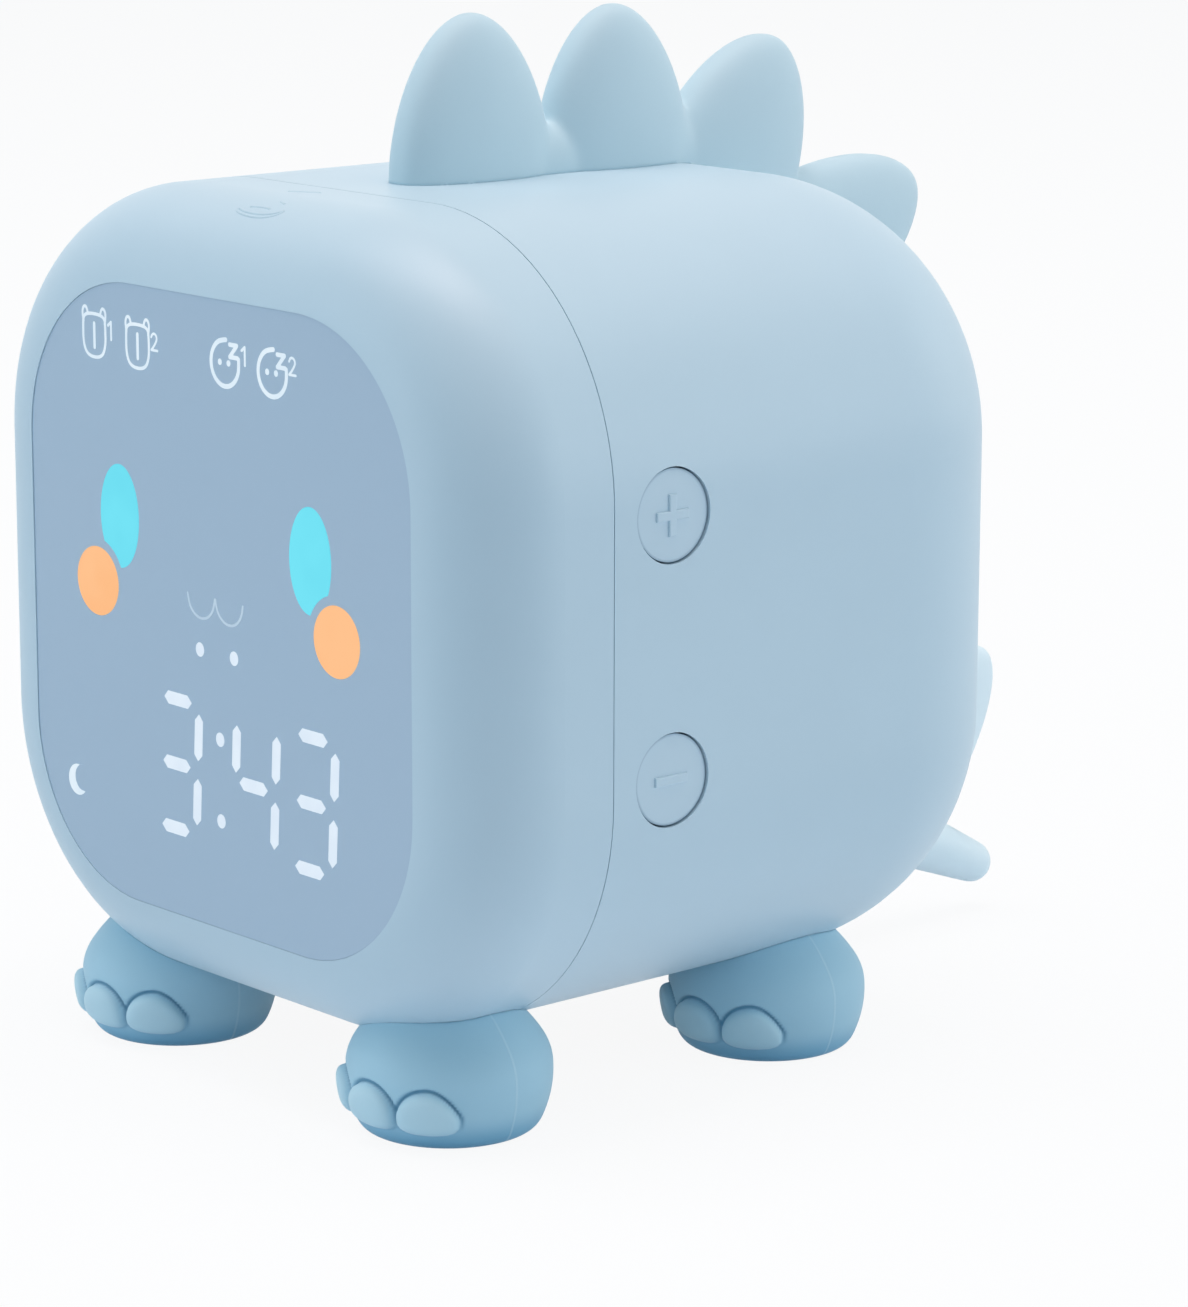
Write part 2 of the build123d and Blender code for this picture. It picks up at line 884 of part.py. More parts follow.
for name, (x, y) in zip(("front_right", "front_left", "rear_right", "rear_left"), paw_places):
    with BuildPart() as paw:
        with Locations((x, y, 0)):
            add(paw_form.part)
        for turn in (-toe_spread, 0, toe_spread):
            lean = math.radians(turn)
            toe_x = x + toe_reach * math.sin(lean)
            toe_y = y - toe_reach * math.cos(lean)
            with Locations(Location((toe_x, toe_y, toe_height), (0, 0, turn))):
                add(toe_form.part)
        add(skin_form, mode=Mode.SUBTRACT)
        with BuildSketch(Plane.XY.offset(case_lift / 2)):
            with Locations((x, y)):
                Circle(paw_stem_radius)
        extrude(amount=paw_seat + skin_gap - case_lift / 2)
        with BuildSketch(Plane.XY.offset(paw_seat + skin_gap)):
            with Locations((x, y)):
                Circle(paw_barb_radius)
        with BuildSketch(Plane.XY.offset(paw_seat + skin_gap + paw_barb_length)):
            with Locations((x, y)):
                Circle(paw_stem_radius)
        loft()
    paw.part.label = f"{name}_paw"
    export_step(paw.part, f"parts/{name}_paw.step")

# Buttons, plungers and switches. Each button's cap is sunk a little and follows the case's curved side
button_heights = (mid_z + button_spread / 2, mid_z - button_spread / 2)
flange_front = cavity_side - fit
flange_back = flange_front - button_flange
stem_back = flange_back - button_stem_length
switch_front = stem_back - plunger_show
switch_back = switch_front - switch_height
switch_board_back = switch_back - board_thickness
flange_form = case_form(wall + fit)
cap_form = case_form(button_recess)


def sign_outline(name):
    """The button's sign in the current sketch: a plus, a minus, a ring to set and a dot for the alarm."""
    if name in ("plus", "minus"):
        Rectangle(sign_length, sign_width)
    if name == "plus":
        Rectangle(sign_width, sign_length)
    if name == "setting":
        Circle(sign_length / 2)
        Circle(sign_length / 2 - sign_width, mode=Mode.SUBTRACT)
    if name == "alarm":
        Circle(sign_dot_radius)


def push_button(hand, height, name):
    """A cap with a flange behind the wall and a stem that bears on the plunger."""
    middle = (hand * button_y, height)
    with BuildPart() as flange:
        with BuildSketch(beside(hand, flange_back)):
            with Locations(middle):
                Circle(button_radius + button_lap)
        extrude(amount=button_flange)
        add(flange_form, mode=Mode.INTERSECT)
    with BuildPart() as button:
        with BuildSketch(beside(hand, flange_back)):
            with Locations(middle):
                Circle(button_radius)
        extrude(amount=side_x - flange_back + wall)
        add(cap_form, mode=Mode.INTERSECT)
        with BuildSketch(beside(hand, side_x - button_recess - join_overlap)):
            with Locations(middle):
                sign_outline(name)
        extrude(amount=join_overlap + sign_height)
        fillet(button.faces().sort_by(Axis.X)[-1 if hand > 0 else 0].edges(), sign_rounding)
        add(flange.part)
        with BuildSketch(beside(hand, stem_back)):
            with Locations(middle):
                Circle(button_stem_radius)
        extrude(amount=button_stem_length)
    return button.part


def switch_plunger(hand, height):
    """The round actuator between a button's stem and the inside of its switch."""
    with BuildPart() as plunger:
        with BuildSketch(beside(hand, switch_front - plunger_sink)):
            with Locations((hand * button_y, height)):
                Circle(plunger_radius)
        extrude(amount=plunger_show + plunger_sink)
    return plunger.part


plunger_well = plunger_sink + button_travel + plunger_slack
for hand, side, names in ((1, "right", ("plus", "minus")), (-1, "left", ("setting", "alarm"))):
    for name, height in zip(names, button_heights):
        button = push_button(hand, height, name)
        button.label = f"{name}_button"
        export_step(button, f"parts/{name}_button.step")
        plunger = switch_plunger(hand, height)
        plunger.label = f"{name}_plunger"
        export_step(plunger, f"parts/{name}_plunger.step")

    with BuildPart() as switches:
        with BuildSketch(beside(hand, switch_back)):
            with Locations(*[(hand * button_y, height) for height in button_heights]):
                Rectangle(switch_size, switch_size)
        extrude(amount=switch_height)
        with BuildSketch(beside(hand, switch_front)):
            with Locations(*[(hand * button_y, height) for height in button_heights]):
                Circle(plunger_radius + fit)
        extrude(amount=-plunger_well, mode=Mode.SUBTRACT)
    switches.part.label = f"{side}_switches"
    export_step(switches.part, f"parts/{side}_switches.step")

    switch_holes = [(hand * button_y, mid_z + step * switch_post_spread / 2) for step in (-1, 1)]
    switch_board = board(
        beside(hand, switch_back),
        (hand * button_y, mid_z),
        switch_board_width,
        switch_post_spread + 2 * switch_board_margin,
        switch_holes,
        -board_thickness,
    )
    switch_board.label = f"{side}_switch_board"
    export_step(switch_board, f"parts/{side}_switch_board.step")


with BuildPart() as switch_screws:
    for hand in (1, -1):
        switch_holes = [(hand * button_y, mid_z + step * switch_post_spread / 2) for step in (-1, 1)]
        add(screws(beside(hand, switch_board_back), switch_holes, 1))
switch_screws.part.label = "switch_screws"
export_step(switch_screws.part, "parts/switch_screws.step")

# Main board with its chip, crystal, charging socket and reset switch
main_holes = corners((0, main_z), main_board_width / 2 - hole_inset, main_board_height / 2 - hole_inset)
main_board = board(
    facing(main_back), (0, main_z), main_board_width, main_board_height, main_holes, board_thickness
)
main_board.label = "main_board"
export_step(main_board, "parts/main_board.step")

clock_chip = blocks(facing(main_front), [(chip_x, main_z + chip_rise)], chip_size, chip_size, chip_height)
clock_chip.label = "clock_chip"
export_step(clock_chip, "parts/clock_chip.step")

crystal = blocks(
    facing(main_front), [(chip_x, main_z - chip_size)], crystal_width, crystal_depth, crystal_height
)
crystal.label = "crystal"
export_step(crystal, "parts/crystal.step")

main_screws = screws(facing(main_front), main_holes, -1)
main_screws.label = "main_screws"
export_step(main_screws, "parts/main_screws.step")

socket_z = main_z - main_board_height / 2 + socket_rise
socket_mouth = back_y - socket_recess
with BuildPart() as usb_socket:
    with BuildSketch(facing(main_back)):
        with Locations((socket_x, socket_z)):
            SlotOverall(socket_width, socket_height)
    extrude(amount=main_back - socket_mouth)
    with BuildSketch(facing(socket_mouth)):
        with Locations((socket_x, socket_z)):
            SlotOverall(socket_width - 2 * socket_wall, socket_height - 2 * socket_wall)
            Rectangle(contact_width, contact_thickness, mode=Mode.SUBTRACT)
    extrude(amount=socket_bore, mode=Mode.SUBTRACT)
usb_socket.part.label = "usb_socket"
export_step(usb_socket.part, "parts/usb_socket.step")

reset_place = (-socket_x, socket_z)
reset_switch = blocks(facing(main_back), [reset_place], reset_size, reset_size, -reset_height)
reset_switch.label = "reset_switch"
export_step(reset_switch, "parts/reset_switch.step")

# Speaker: gasket, frame, cone and magnet, held against the rear wall by a clamp ring
rim_back = cavity_back - gasket_thickness - speaker_rim
clamp_post_reach = speaker_radius + speaker_ring_wall + clamp_post_gap + post_radius
clamp_turns = (30, 150, 270)
clamp_holes = [
    (
        clamp_post_reach * math.cos(math.radians(turn)),
        mid_z + clamp_post_reach * math.sin(math.radians(turn)),
    )
    for turn in clamp_turns
]


def speaker_turned(*outline):
    """A ring or disc turned about the speaker's axis; points are (radius, depth in the case)."""
    with BuildPart() as turned:
        with BuildSketch(Plane.XY.offset(mid_z)):
            Polygon(*[(radius, cavity_back - depth) for radius, depth in outline])
        revolve(axis=Axis((0, 0, mid_z), (0, 1, 0)))
    return turned.part


rim_front = gasket_thickness
shell_front = rim_front + speaker_depth - speaker_shell
hollow_radius = speaker_radius - speaker_rim_width
speaker_gasket = speaker_turned(
    (hollow_radius, 0),
    (speaker_radius, 0),
    (speaker_radius, gasket_thickness),
    (hollow_radius, gasket_thickness),
)
speaker_gasket.label = "speaker_gasket"
export_step(speaker_gasket, "parts/speaker_gasket.step")

speaker_frame = speaker_turned(
    (hollow_radius, rim_front),
    (speaker_radius, rim_front),
    (speaker_radius, rim_front + speaker_rim),
    (hollow_radius + speaker_shell, rim_front + speaker_rim),
    (speaker_back_radius, rim_front + speaker_depth),
    (0, rim_front + speaker_depth),
    (0, shell_front),
    (speaker_back_radius - speaker_shell, shell_front),
    (hollow_radius, rim_front + speaker_rim - speaker_shell),
)
speaker_frame.label = "speaker_frame"
export_step(speaker_frame, "parts/speaker_frame.step")

cone_rim = hollow_radius - fit
cone_edge = rim_front + speaker_shell
speaker_cone = speaker_turned(
    (cone_rim, cone_edge),
    (cone_apex_radius, shell_front - cone_thickness - fit),
    (0, cone_edge),
    (0, cone_edge + cone_thickness),
    (cone_apex_radius, shell_front - fit),
    (cone_rim, cone_edge + cone_thickness),
)
speaker_cone.label = "speaker_cone"
export_step(speaker_cone, "parts/speaker_cone.step")

magnet_front = rim_front + speaker_depth
speaker_magnet = speaker_turned(
    (0, magnet_front),
    (magnet_radius, magnet_front),
    (magnet_radius, magnet_front + magnet_height),
    (0, magnet_front + magnet_height),
)
speaker_magnet.label = "speaker_magnet"
export_step(speaker_magnet, "parts/speaker_magnet.step")

with BuildPart() as speaker_clamp:
    with BuildSketch(facing(rim_back)):
        with Locations((0, mid_z)):
            Circle(speaker_radius + speaker_ring_wall)
        with Locations(*clamp_holes):
            Circle(post_radius)
        for x, z in clamp_holes:
            with Locations(Location((x / 2, (z + mid_z) / 2), math.degrees(math.atan2(z - mid_z, x)))):
                Rectangle(clamp_post_reach, 2 * post_radius)
        with Locations((0, mid_z)):
            Circle(speaker_radius - clamp_lip, mode=Mode.SUBTRACT)
        with Locations(*clamp_holes):
            Circle(pilot_radius + fit, mode=Mode.SUBTRACT)
    extrude(amount=clamp_thickness)
speaker_clamp.part.label = "speaker_clamp"
export_step(speaker_clamp.part, "parts/speaker_clamp.step")

speaker_screws = screws(facing(rim_back - clamp_thickness), clamp_holes, -1)
speaker_screws.label = "speaker_screws"
export_step(speaker_screws, "parts/speaker_screws.step")

# Battery pack on foam, under a strap screwed to two floor posts
battery_floor = cavity_floor + foam_thickness
battery_top = battery_floor + battery_height
strap_inner = battery_width / 2 + loose_fit
strap_outer = strap_inner + strap_thickness
strap_hole_x = strap_outer + strap_ear / 2
strap_holes = [(-strap_hole_x, battery_y), (strap_hole_x, battery_y)]
ear_floor = floor_height(strap_hole_x + pilot_radius) + screw_grip + screw_tip_gap - strap_thickness
foam_width = 2 * (side_x - corner_radius) - strap_thickness
foam_seat = Plane.XY.offset(cavity_floor)
battery_foam = blocks(foam_seat, [(0, battery_y)], foam_width, foam_length, foam_thickness)
battery_foam.label = "battery_foam"
export_step(battery_foam, "parts/battery_foam.step")

with BuildPart() as battery_pack:
    with Locations((0, battery_y, battery_floor + battery_height / 2)):
        Box(battery_width, battery_length, battery_height)
    fillet(battery_pack.edges().filter_by(Axis.Y), battery_rounding)
battery_pack.part.label = "battery_pack"
export_step(battery_pack.part, "parts/battery_pack.step")

with BuildPart() as battery_strap:
    with BuildSketch(facing(battery_y)):
        with BuildLine():
            strap_line = Polyline(
                (-strap_outer - strap_ear, ear_floor),
                (-strap_inner, ear_floor),
                (-strap_inner, battery_top + fit),
                (strap_inner, battery_top + fit),
                (strap_inner, ear_floor),
                (strap_outer + strap_ear, ear_floor),
            )
            Polyline(
                strap_line @ 1,
                (strap_outer + strap_ear, ear_floor + strap_thickness),
                (strap_outer, ear_floor + strap_thickness),
                (strap_outer, battery_top + fit + strap_thickness),
                (-strap_outer, battery_top + fit + strap_thickness),
                (-strap_outer, ear_floor + strap_thickness),
                (-strap_outer - strap_ear, ear_floor + strap_thickness),
                strap_line @ 0,
            )
        make_face()
    extrude(amount=strap_width / 2, both=True)
    with BuildSketch(Plane.XY.offset(ear_floor)):
        with Locations(*strap_holes):
            Circle(pilot_radius + fit)
    extrude(amount=strap_thickness, mode=Mode.SUBTRACT)
battery_strap.part.label = "battery_strap"
export_step(battery_strap.part, "parts/battery_strap.step")

strap_screws = screws(Plane.XY.offset(ear_floor + strap_thickness), strap_holes, -1)
strap_screws.label = "strap_screws"
export_step(strap_screws, "parts/strap_screws.step")

# Night-light board, hung from the top under the crest's slot
night_top = cavity_top - night_board_drop
night_y = (crest_front + back_y - rear_rim) / 2
night_holes = corners(
    (0, night_y),
    night_board_width / 2 - board_corner,
    night_board_length / 2 - board_corner,
)
night_plane = Plane.XY.offset(night_top)
night_board = board(
    night_plane, (0, night_y), night_board_width, night_board_length, night_holes, -board_thickness
)
night_board.label = "night_board"
export_step(night_board, "parts/night_board.step")

night_led_places = [
    (0, night_y + (step - (night_led_count - 1) / 2) * night_led_pitch) for step in range(night_led_count)
]
night_leds = blocks(night_plane, night_led_places, night_led_size, night_led_size, night_led_height)
night_leds.label = "night_leds"
export_step(night_leds, "parts/night_leds.step")

night_screws = screws(night_plane.offset(-board_thickness), night_holes, 1)
night_screws.label = "night_screws"
export_step(night_screws, "parts/night_screws.step")

# Rear shell: the case behind the seam, with everything that is fixed to it
with BuildPart() as rear_shell:
    add(outer_form)
    add(inner_form, mode=Mode.SUBTRACT)
    add(slab(seam_y + seam_gap / 2, back_y + case_depth), mode=Mode.INTERSECT)
    add(case_ring(seam_y - tongue_length, seam_y + tongue_length, wall / 2, wall + fit), mode=Mode.SUBTRACT)
    add(snap_blocks(snap_height + fit, snap_width + loose_fit, snap_length + loose_fit), mode=Mode.SUBTRACT)
    for hand in (1, -1):
        switch_holes = [(hand * button_y, mid_z + step * switch_post_spread / 2) for step in (-1, 1)]
        add(posts(beside(hand, switch_back), switch_holes, side_x - switch_back))
        with BuildSketch(beside(hand, cavity_side - wall)):
            with Locations(*[(hand * button_y, height) for height in button_heights]):
                Circle(button_radius + button_gap)
        extrude(amount=3 * wall, mode=Mode.SUBTRACT)
    add(posts(facing(main_back), main_holes, main_back - back_y))
    add(posts(night_plane, night_holes, top_z - night_top))
    add(posts(Plane.XY.offset(ear_floor), strap_holes, case_lift - ear_floor, strap_thickness))
    add(posts(facing(rim_back), clamp_holes, rim_back - back_y, clamp_thickness))
    with BuildSketch(facing(rim_back)):
        with Locations((0, mid_z)):
            Circle(speaker_radius + speaker_ring_wall)
            Circle(speaker_radius + fit, mode=Mode.SUBTRACT)
    extrude(amount=rim_back - cavity_back - join_overlap)
    with BuildSketch(facing(back_y)):
        with Locations((0, mid_z)):
            Circle(grille_radius)
        for ring in range(1, grille_rings + 1):
            with Locations((0, mid_z)):
                with PolarLocations(ring * grille_pitch, ring * grille_ring_step):
                    Circle(grille_radius)
        with Locations(reset_place):
            Circle(pin_radius)
        with Locations((socket_x, socket_z)):
            SlotOverall(socket_width + 2 * socket_fit, socket_height + 2 * socket_fit)
    extrude(amount=wall, mode=Mode.SUBTRACT)
    stem_slot = crest_band(
        stem_setback - stem_fit, crest_end + stem_fit, -2 * wall, wall, stem_half_width + stem_fit
    )
    add(stem_slot, mode=Mode.SUBTRACT)
    with BuildSketch(tail_seat.offset(-wall)):
        Circle(tail_stem_radius + fit)
    extrude(amount=3 * wall, mode=Mode.SUBTRACT)
    add(paw_bosses(paw_places[2:]))
    add(paw_holes(paw_places[2:]), mode=Mode.SUBTRACT)
rear_shell.part.label = "rear_shell"
export_step(rear_shell.part, "parts/rear_shell.step")

# Leads, plugs and the flat display cable
battery_end = battery_y + battery_length / 2
lead_y = main_front - plug_height / 2
battery_lead_z = battery_floor + battery_height / 2
battery_plug_z = main_z - main_board_height / 2 + plug_length
battery_lead = round_lead(
    (battery_lead_x, battery_end, battery_lead_z),
    (battery_lead_x, lead_y, battery_lead_z),
    (battery_lead_x, lead_y, battery_plug_z - plug_length / 2),
)
battery_lead.label = "battery_lead"
export_step(battery_lead, "parts/battery_lead.step")

night_plug_y = night_y + night_board_length / 2 - plug_length / 2
night_lead_z = night_top - board_thickness - plug_height / 2
night_plug_z = main_z + main_board_height / 2 - plug_length
night_lead = round_lead(
    (0, night_plug_y + plug_length / 2, night_lead_z),
    (0, lead_y, night_lead_z),
    (0, lead_y, night_plug_z + plug_length / 2),
)
night_lead.label = "night_lead"
export_step(night_lead, "parts/night_lead.step")

switch_lead_x = switch_board_back - plug_height / 2
switch_plug_x = main_board_width / 2 - plug_length
with BuildPart() as switch_leads:
    for hand in (1, -1):
        add(
            round_lead(
                (hand * switch_lead_x, button_y + plug_length / 2, mid_z),
                (hand * switch_lead_x, button_y + plug_length / 2 + 3 * bend_radius, mid_z),
                (hand * switch_plug_x, main_front - plug_height - 2 * bend_radius, mid_z),
                (hand * switch_plug_x, main_front - plug_height, mid_z),
            )
        )
switch_leads.part.label = "switch_leads"
export_step(switch_leads.part, "parts/switch_leads.step")

main_plugs = [
    (battery_lead_x, battery_plug_z),
    (0, night_plug_z),
    (-switch_plug_x, mid_z),
    (switch_plug_x, mid_z),
]
night_underside = night_plane.offset(-board_thickness)
with BuildPart() as lead_plugs:
    add(blocks(facing(main_front), main_plugs, plug_width, plug_length, plug_height))
    add(blocks(night_underside, [(0, night_plug_y)], plug_width, plug_length, -plug_height))
    for hand in (1, -1):
        switch_plug = [(hand * button_y, mid_z)]
        add(blocks(beside(hand, switch_board_back), switch_plug, plug_length, plug_width, -plug_height))
lead_plugs.part.label = "lead_plugs"
export_step(lead_plugs.part, "parts/lead_plugs.step")

ribbon_z = main_z + ribbon_rise
with BuildPart() as ribbon_sockets:
    for y, way in ((display_back, -1), (main_front, 1)):
        depth = way * ribbon_socket_depth
        add(blocks(facing(y), [(0, ribbon_z)], ribbon_socket_width, ribbon_socket_height, depth))
ribbon_sockets.part.label = "ribbon_sockets"
export_step(ribbon_sockets.part, "parts/ribbon_sockets.step")

ribbon_start = display_back + ribbon_socket_depth
ribbon_end = main_front - ribbon_socket_depth
ribbon_middle = (ribbon_start + ribbon_end) / 2
with BuildPart() as display_ribbon:
    with BuildLine():
        ribbon_line = FilletPolyline(
            (0, ribbon_start, ribbon_z),
            (0, ribbon_middle - 2 * bend_radius, ribbon_z),
            (0, ribbon_middle, ribbon_z - bend_radius),
            (0, ribbon_middle + 2 * bend_radius, ribbon_z),
            (0, ribbon_end, ribbon_z),
            radius=bend_radius,
        )
    with BuildSketch(facing(ribbon_start)):
        with Locations((0, ribbon_z)):
            Rectangle(ribbon_width, ribbon_thickness)
    sweep(path=ribbon_line)
display_ribbon.part.label = "display_ribbon"
export_step(display_ribbon.part, "parts/display_ribbon.step")
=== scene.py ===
import json
import math

import bmesh
import bpy
from mathutils import Matrix, Vector


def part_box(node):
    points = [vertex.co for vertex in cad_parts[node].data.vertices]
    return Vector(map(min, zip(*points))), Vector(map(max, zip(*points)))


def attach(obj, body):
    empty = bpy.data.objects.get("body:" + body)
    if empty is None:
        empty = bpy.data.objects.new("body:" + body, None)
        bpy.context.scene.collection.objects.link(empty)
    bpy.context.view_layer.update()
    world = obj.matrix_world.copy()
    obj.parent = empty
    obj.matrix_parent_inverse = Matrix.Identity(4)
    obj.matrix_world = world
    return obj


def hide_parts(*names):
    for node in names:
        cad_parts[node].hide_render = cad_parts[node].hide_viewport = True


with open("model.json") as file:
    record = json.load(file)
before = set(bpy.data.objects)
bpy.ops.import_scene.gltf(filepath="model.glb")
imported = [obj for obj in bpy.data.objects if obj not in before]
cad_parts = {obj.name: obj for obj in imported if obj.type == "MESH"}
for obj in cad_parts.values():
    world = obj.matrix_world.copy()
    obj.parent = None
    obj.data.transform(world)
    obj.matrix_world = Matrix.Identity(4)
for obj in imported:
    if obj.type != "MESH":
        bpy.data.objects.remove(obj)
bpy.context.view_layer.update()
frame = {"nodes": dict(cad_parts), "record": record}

MM = 0.001

# The case, in millimetres, from its two shells
FRONT_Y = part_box("front_bezel")[0][1] / MM
BACK_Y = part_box("rear_shell")[1][1] / MM
SIDE_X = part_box("rear_shell")[1][0] / MM
BOTTOM_Z, TOP_Z = (corner[2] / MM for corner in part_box("rear_shell"))
MIDDLE_Y = (FRONT_Y + BACK_Y) / 2
MIDDLE_Z = (BOTTOM_Z + TOP_Z) / 2
WINDOW_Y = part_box("display_window")[0][1] / MM
CORNER_RADIUS = 28.6
FRONT_RIM = 11.0
REAR_RIM = 24.0

# The view: a long lens, turned to the clock's right front corner and slightly above it
VIEW_AZIMUTH = math.radians(48.61)
VIEW_HEIGHT = math.radians(12.39)
VIEW_ROLL = math.radians(0.13)
VIEW_DISTANCE = 519.18 * MM
VIEW_TARGET = Vector((0, MIDDLE_Y * MM, 50 * MM))
VIEW_SLIDE = (8.35 * MM, -7.05 * MM)
FRAME_HEIGHT_PX = 1307
FOCAL_PX = 4639.85
SENSOR_MM = 36


def make_camera():
    """The camera, from the view's angles and its slide across the picture."""
    back = Vector(
        (
            math.sin(VIEW_AZIMUTH) * math.cos(VIEW_HEIGHT),
            -math.cos(VIEW_AZIMUTH) * math.cos(VIEW_HEIGHT),
            math.sin(VIEW_HEIGHT),
        )
    )
    right = Vector((0, 0, 1)).cross(back).normalized()
    up = back.cross(right)
    turned_right = right * math.cos(VIEW_ROLL) + up * math.sin(VIEW_ROLL)
    turned_up = up * math.cos(VIEW_ROLL) - right * math.sin(VIEW_ROLL)
    place = VIEW_TARGET + back * VIEW_DISTANCE
    place += turned_right * VIEW_SLIDE[0] + turned_up * VIEW_SLIDE[1]
    data = bpy.data.cameras.new("camera")
    data.sensor_width = SENSOR_MM
    data.lens = FOCAL_PX / FRAME_HEIGHT_PX * SENSOR_MM
    camera = bpy.data.objects.new("camera", data)
    turned = Matrix((turned_right, turned_up, back)).transposed().to_4x4()
    camera.matrix_world = Matrix.Translation(place) @ turned
    bpy.context.scene.collection.objects.link(camera)
    bpy.context.scene.camera = camera


class Value:
    """A node socket whose arithmetic adds Math nodes."""

    def __init__(self, paint, socket):
        self.paint = paint
        self.socket = socket

    def math(self, operation, *others):
        node = self.paint.node("ShaderNodeMath", {"operation": operation}, [self, *others])
        return Value(self.paint, node.outputs[0])

    def __add__(self, other):
        return self.math("ADD", other)

    def __sub__(self, other):
        return self.math("SUBTRACT", other)

    def __rsub__(self, other):
        return (self * -1) + other

    def __mul__(self, other):
        return self.math("MULTIPLY", other)

    def __abs__(self):
        return self.math("ABSOLUTE")

    def least(self, other):
        return self.math("MINIMUM", other)

    def clamp(self):
        return self.math("MINIMUM", 1).math("MAXIMUM", 0)

    def step(self, low, high):
        """0 below low, 1 above high, and smooth between."""
        ends = {"Value": self, "From Min": low, "From Max": high}
        node = self.paint.node("ShaderNodeMapRange", {"interpolation_type": "SMOOTHSTEP"}, ends)
        return Value(self.paint, node.outputs[0])


class Paint:
    """One material with its Principled shader."""

    def __init__(self, name):
        self.material = bpy.data.materials.new(name)
        self.material.use_nodes = True
        self.tree = self.material.node_tree
        self.tree.nodes.clear()
        self.output = self.tree.nodes.new("ShaderNodeOutputMaterial")
        self.shader = self.tree.nodes.new("ShaderNodeBsdfPrincipled")
        self.tree.links.new(self.shader.outputs[0], self.output.inputs["Surface"])

    def node(self, kind, settings=None, inputs=None):
        """A node of that type; settings are set first, then its sockets' values or links."""
        node = self.tree.nodes.new(kind)
        for key, value in (settings or {}).items():
            setattr(node, key, value)
        pairs = inputs.items() if isinstance(inputs, dict) else enumerate(inputs or [])
        for key, value in pairs:
            self.feed(node.inputs[key], value)
        return node

    def feed(self, socket, value):
        if isinstance(value, Value):
            self.tree.links.new(value.socket, socket)
        elif hasattr(value, "links"):
            self.tree.links.new(value, socket)
        else:
            socket.default_value = value

    def set(self, **inputs):
        for key, value in inputs.items():
            self.feed(self.shader.inputs[key.replace("_", " ")], value)
        return self

    def place(self):
        """Object coordinates, in metres, which are the clock's own frame."""
        return self.node("ShaderNodeTexCoord").outputs["Object"]

    def axis(self, letter):
        node = self.node("ShaderNodeSeparateXYZ", inputs=[self.place()])
        return Value(self, node.outputs[letter])

    def noise(self, scale, detail=2.0):
        """Smooth noise from 0 to 1, with that many waves to the metre."""
        node = self.node("ShaderNodeTexNoise", inputs={"Vector": self.place(), "Scale": scale, "Detail": detail})
        return Value(self, node.outputs["Fac"])

    def mix(self, factor, low, high):
        """The low colour at factor 0 and the high one at factor 1."""
        node = self.node("ShaderNodeMix", {"data_type": "RGBA"})
        self.feed(node.inputs["Factor"], factor)
        for key, shade in (("A_Color", low), ("B_Color", high)):
            self.feed(next(entry for entry in node.inputs if entry.identifier == key), shade)
        return next(entry for entry in node.outputs if entry.identifier == "Result_Color")

    def bump(self, height, strength, distance):
        node = self.node("ShaderNodeBump", inputs={"Height": height, "Strength": strength, "Distance": distance})
        self.feed(self.shader.inputs["Normal"], node.outputs[0])


def colour(red, green, blue):
    """A display colour, 0 to 255, as the linear colour that shows it."""

    def linear(level):
        share = level / 255
        return share / 12.92 if share <= 0.04045 else ((share + 0.055) / 1.055) ** 2.4

    return (linear(red), linear(green), linear(blue), 1)


# Hard finishes: their roughness drifts with their colour, and their skin has a far finer grain
ROUGHNESS_DRIFT = 0.12
GRAIN_FINENESS = 20
GRAIN_DETAIL = 4.0
GRAIN_STRENGTH = 0.1
GRAIN_DEPTH = 0.02 * MM


def plain_paint(name, low, high, roughness, drift_scale, bump=GRAIN_STRENGTH, metallic=0.0, coat=0.0):
    """A moulded or plated finish whose colour and roughness drift a little."""
    paint = Paint(name)
    drift = paint.noise(drift_scale)
    paint.set(
        Base_Color=paint.mix(drift, colour(*low), colour(*high)),
        Roughness=drift * ROUGHNESS_DRIFT + roughness,
        Metallic=metallic,
        Coat_Weight=coat,
    )
    paint.bump(paint.noise(drift_scale * GRAIN_FINENESS, GRAIN_DETAIL), bump, GRAIN_DEPTH)
    return paint.material


# Silicone: a coarser grain and a bloom that shows at grazing angles
SILICONE_DRIFT = 80
SILICONE_GRAIN = 1600
SILICONE_GRAIN_SHARE = 0.3
SILICONE_GRAIN_STRENGTH = 0.35
SILICONE_GRAIN_DEPTH = 0.06 * MM
SILICONE_ROUGHNESS = 0.6
SILICONE_ROUGHNESS_DRIFT = 0.1
BLOOM_WEIGHT = 0.25
BLOOM_ROUGHNESS = 0.4
BLOOM_TINT = (1, 0.97, 0.93, 1)

# Paws get painted shade near the ground and in their grooves, a painted highlight on their toes, and show a
# mould line
PAW_X = 23.9
PAW_YS = {"front": FRONT_Y + 12.3, "rear": FRONT_Y + 58.5}
PAW_PAINTED_SHADE = (122, 184, 214)
PAW_PAINTED_SHADE_TOP = 4 * MM
TOE_PAINTED_HIGHLIGHT = (208, 238, 247)
TOE_PAINTED_HIGHLIGHT_SHARE = 0.8
GROOVE_PAINTED_SHADE = (100, 154, 184)
PAW_LINES = tuple(paw_y * MM for paw_y in PAW_YS.values())
PAW_LINE_SHADE = (214, 238, 248)
PAW_LINE_SHARE = 0.35
PAW_LINE_HALF_WIDTHS = (0.05 * MM, 0.22 * MM)


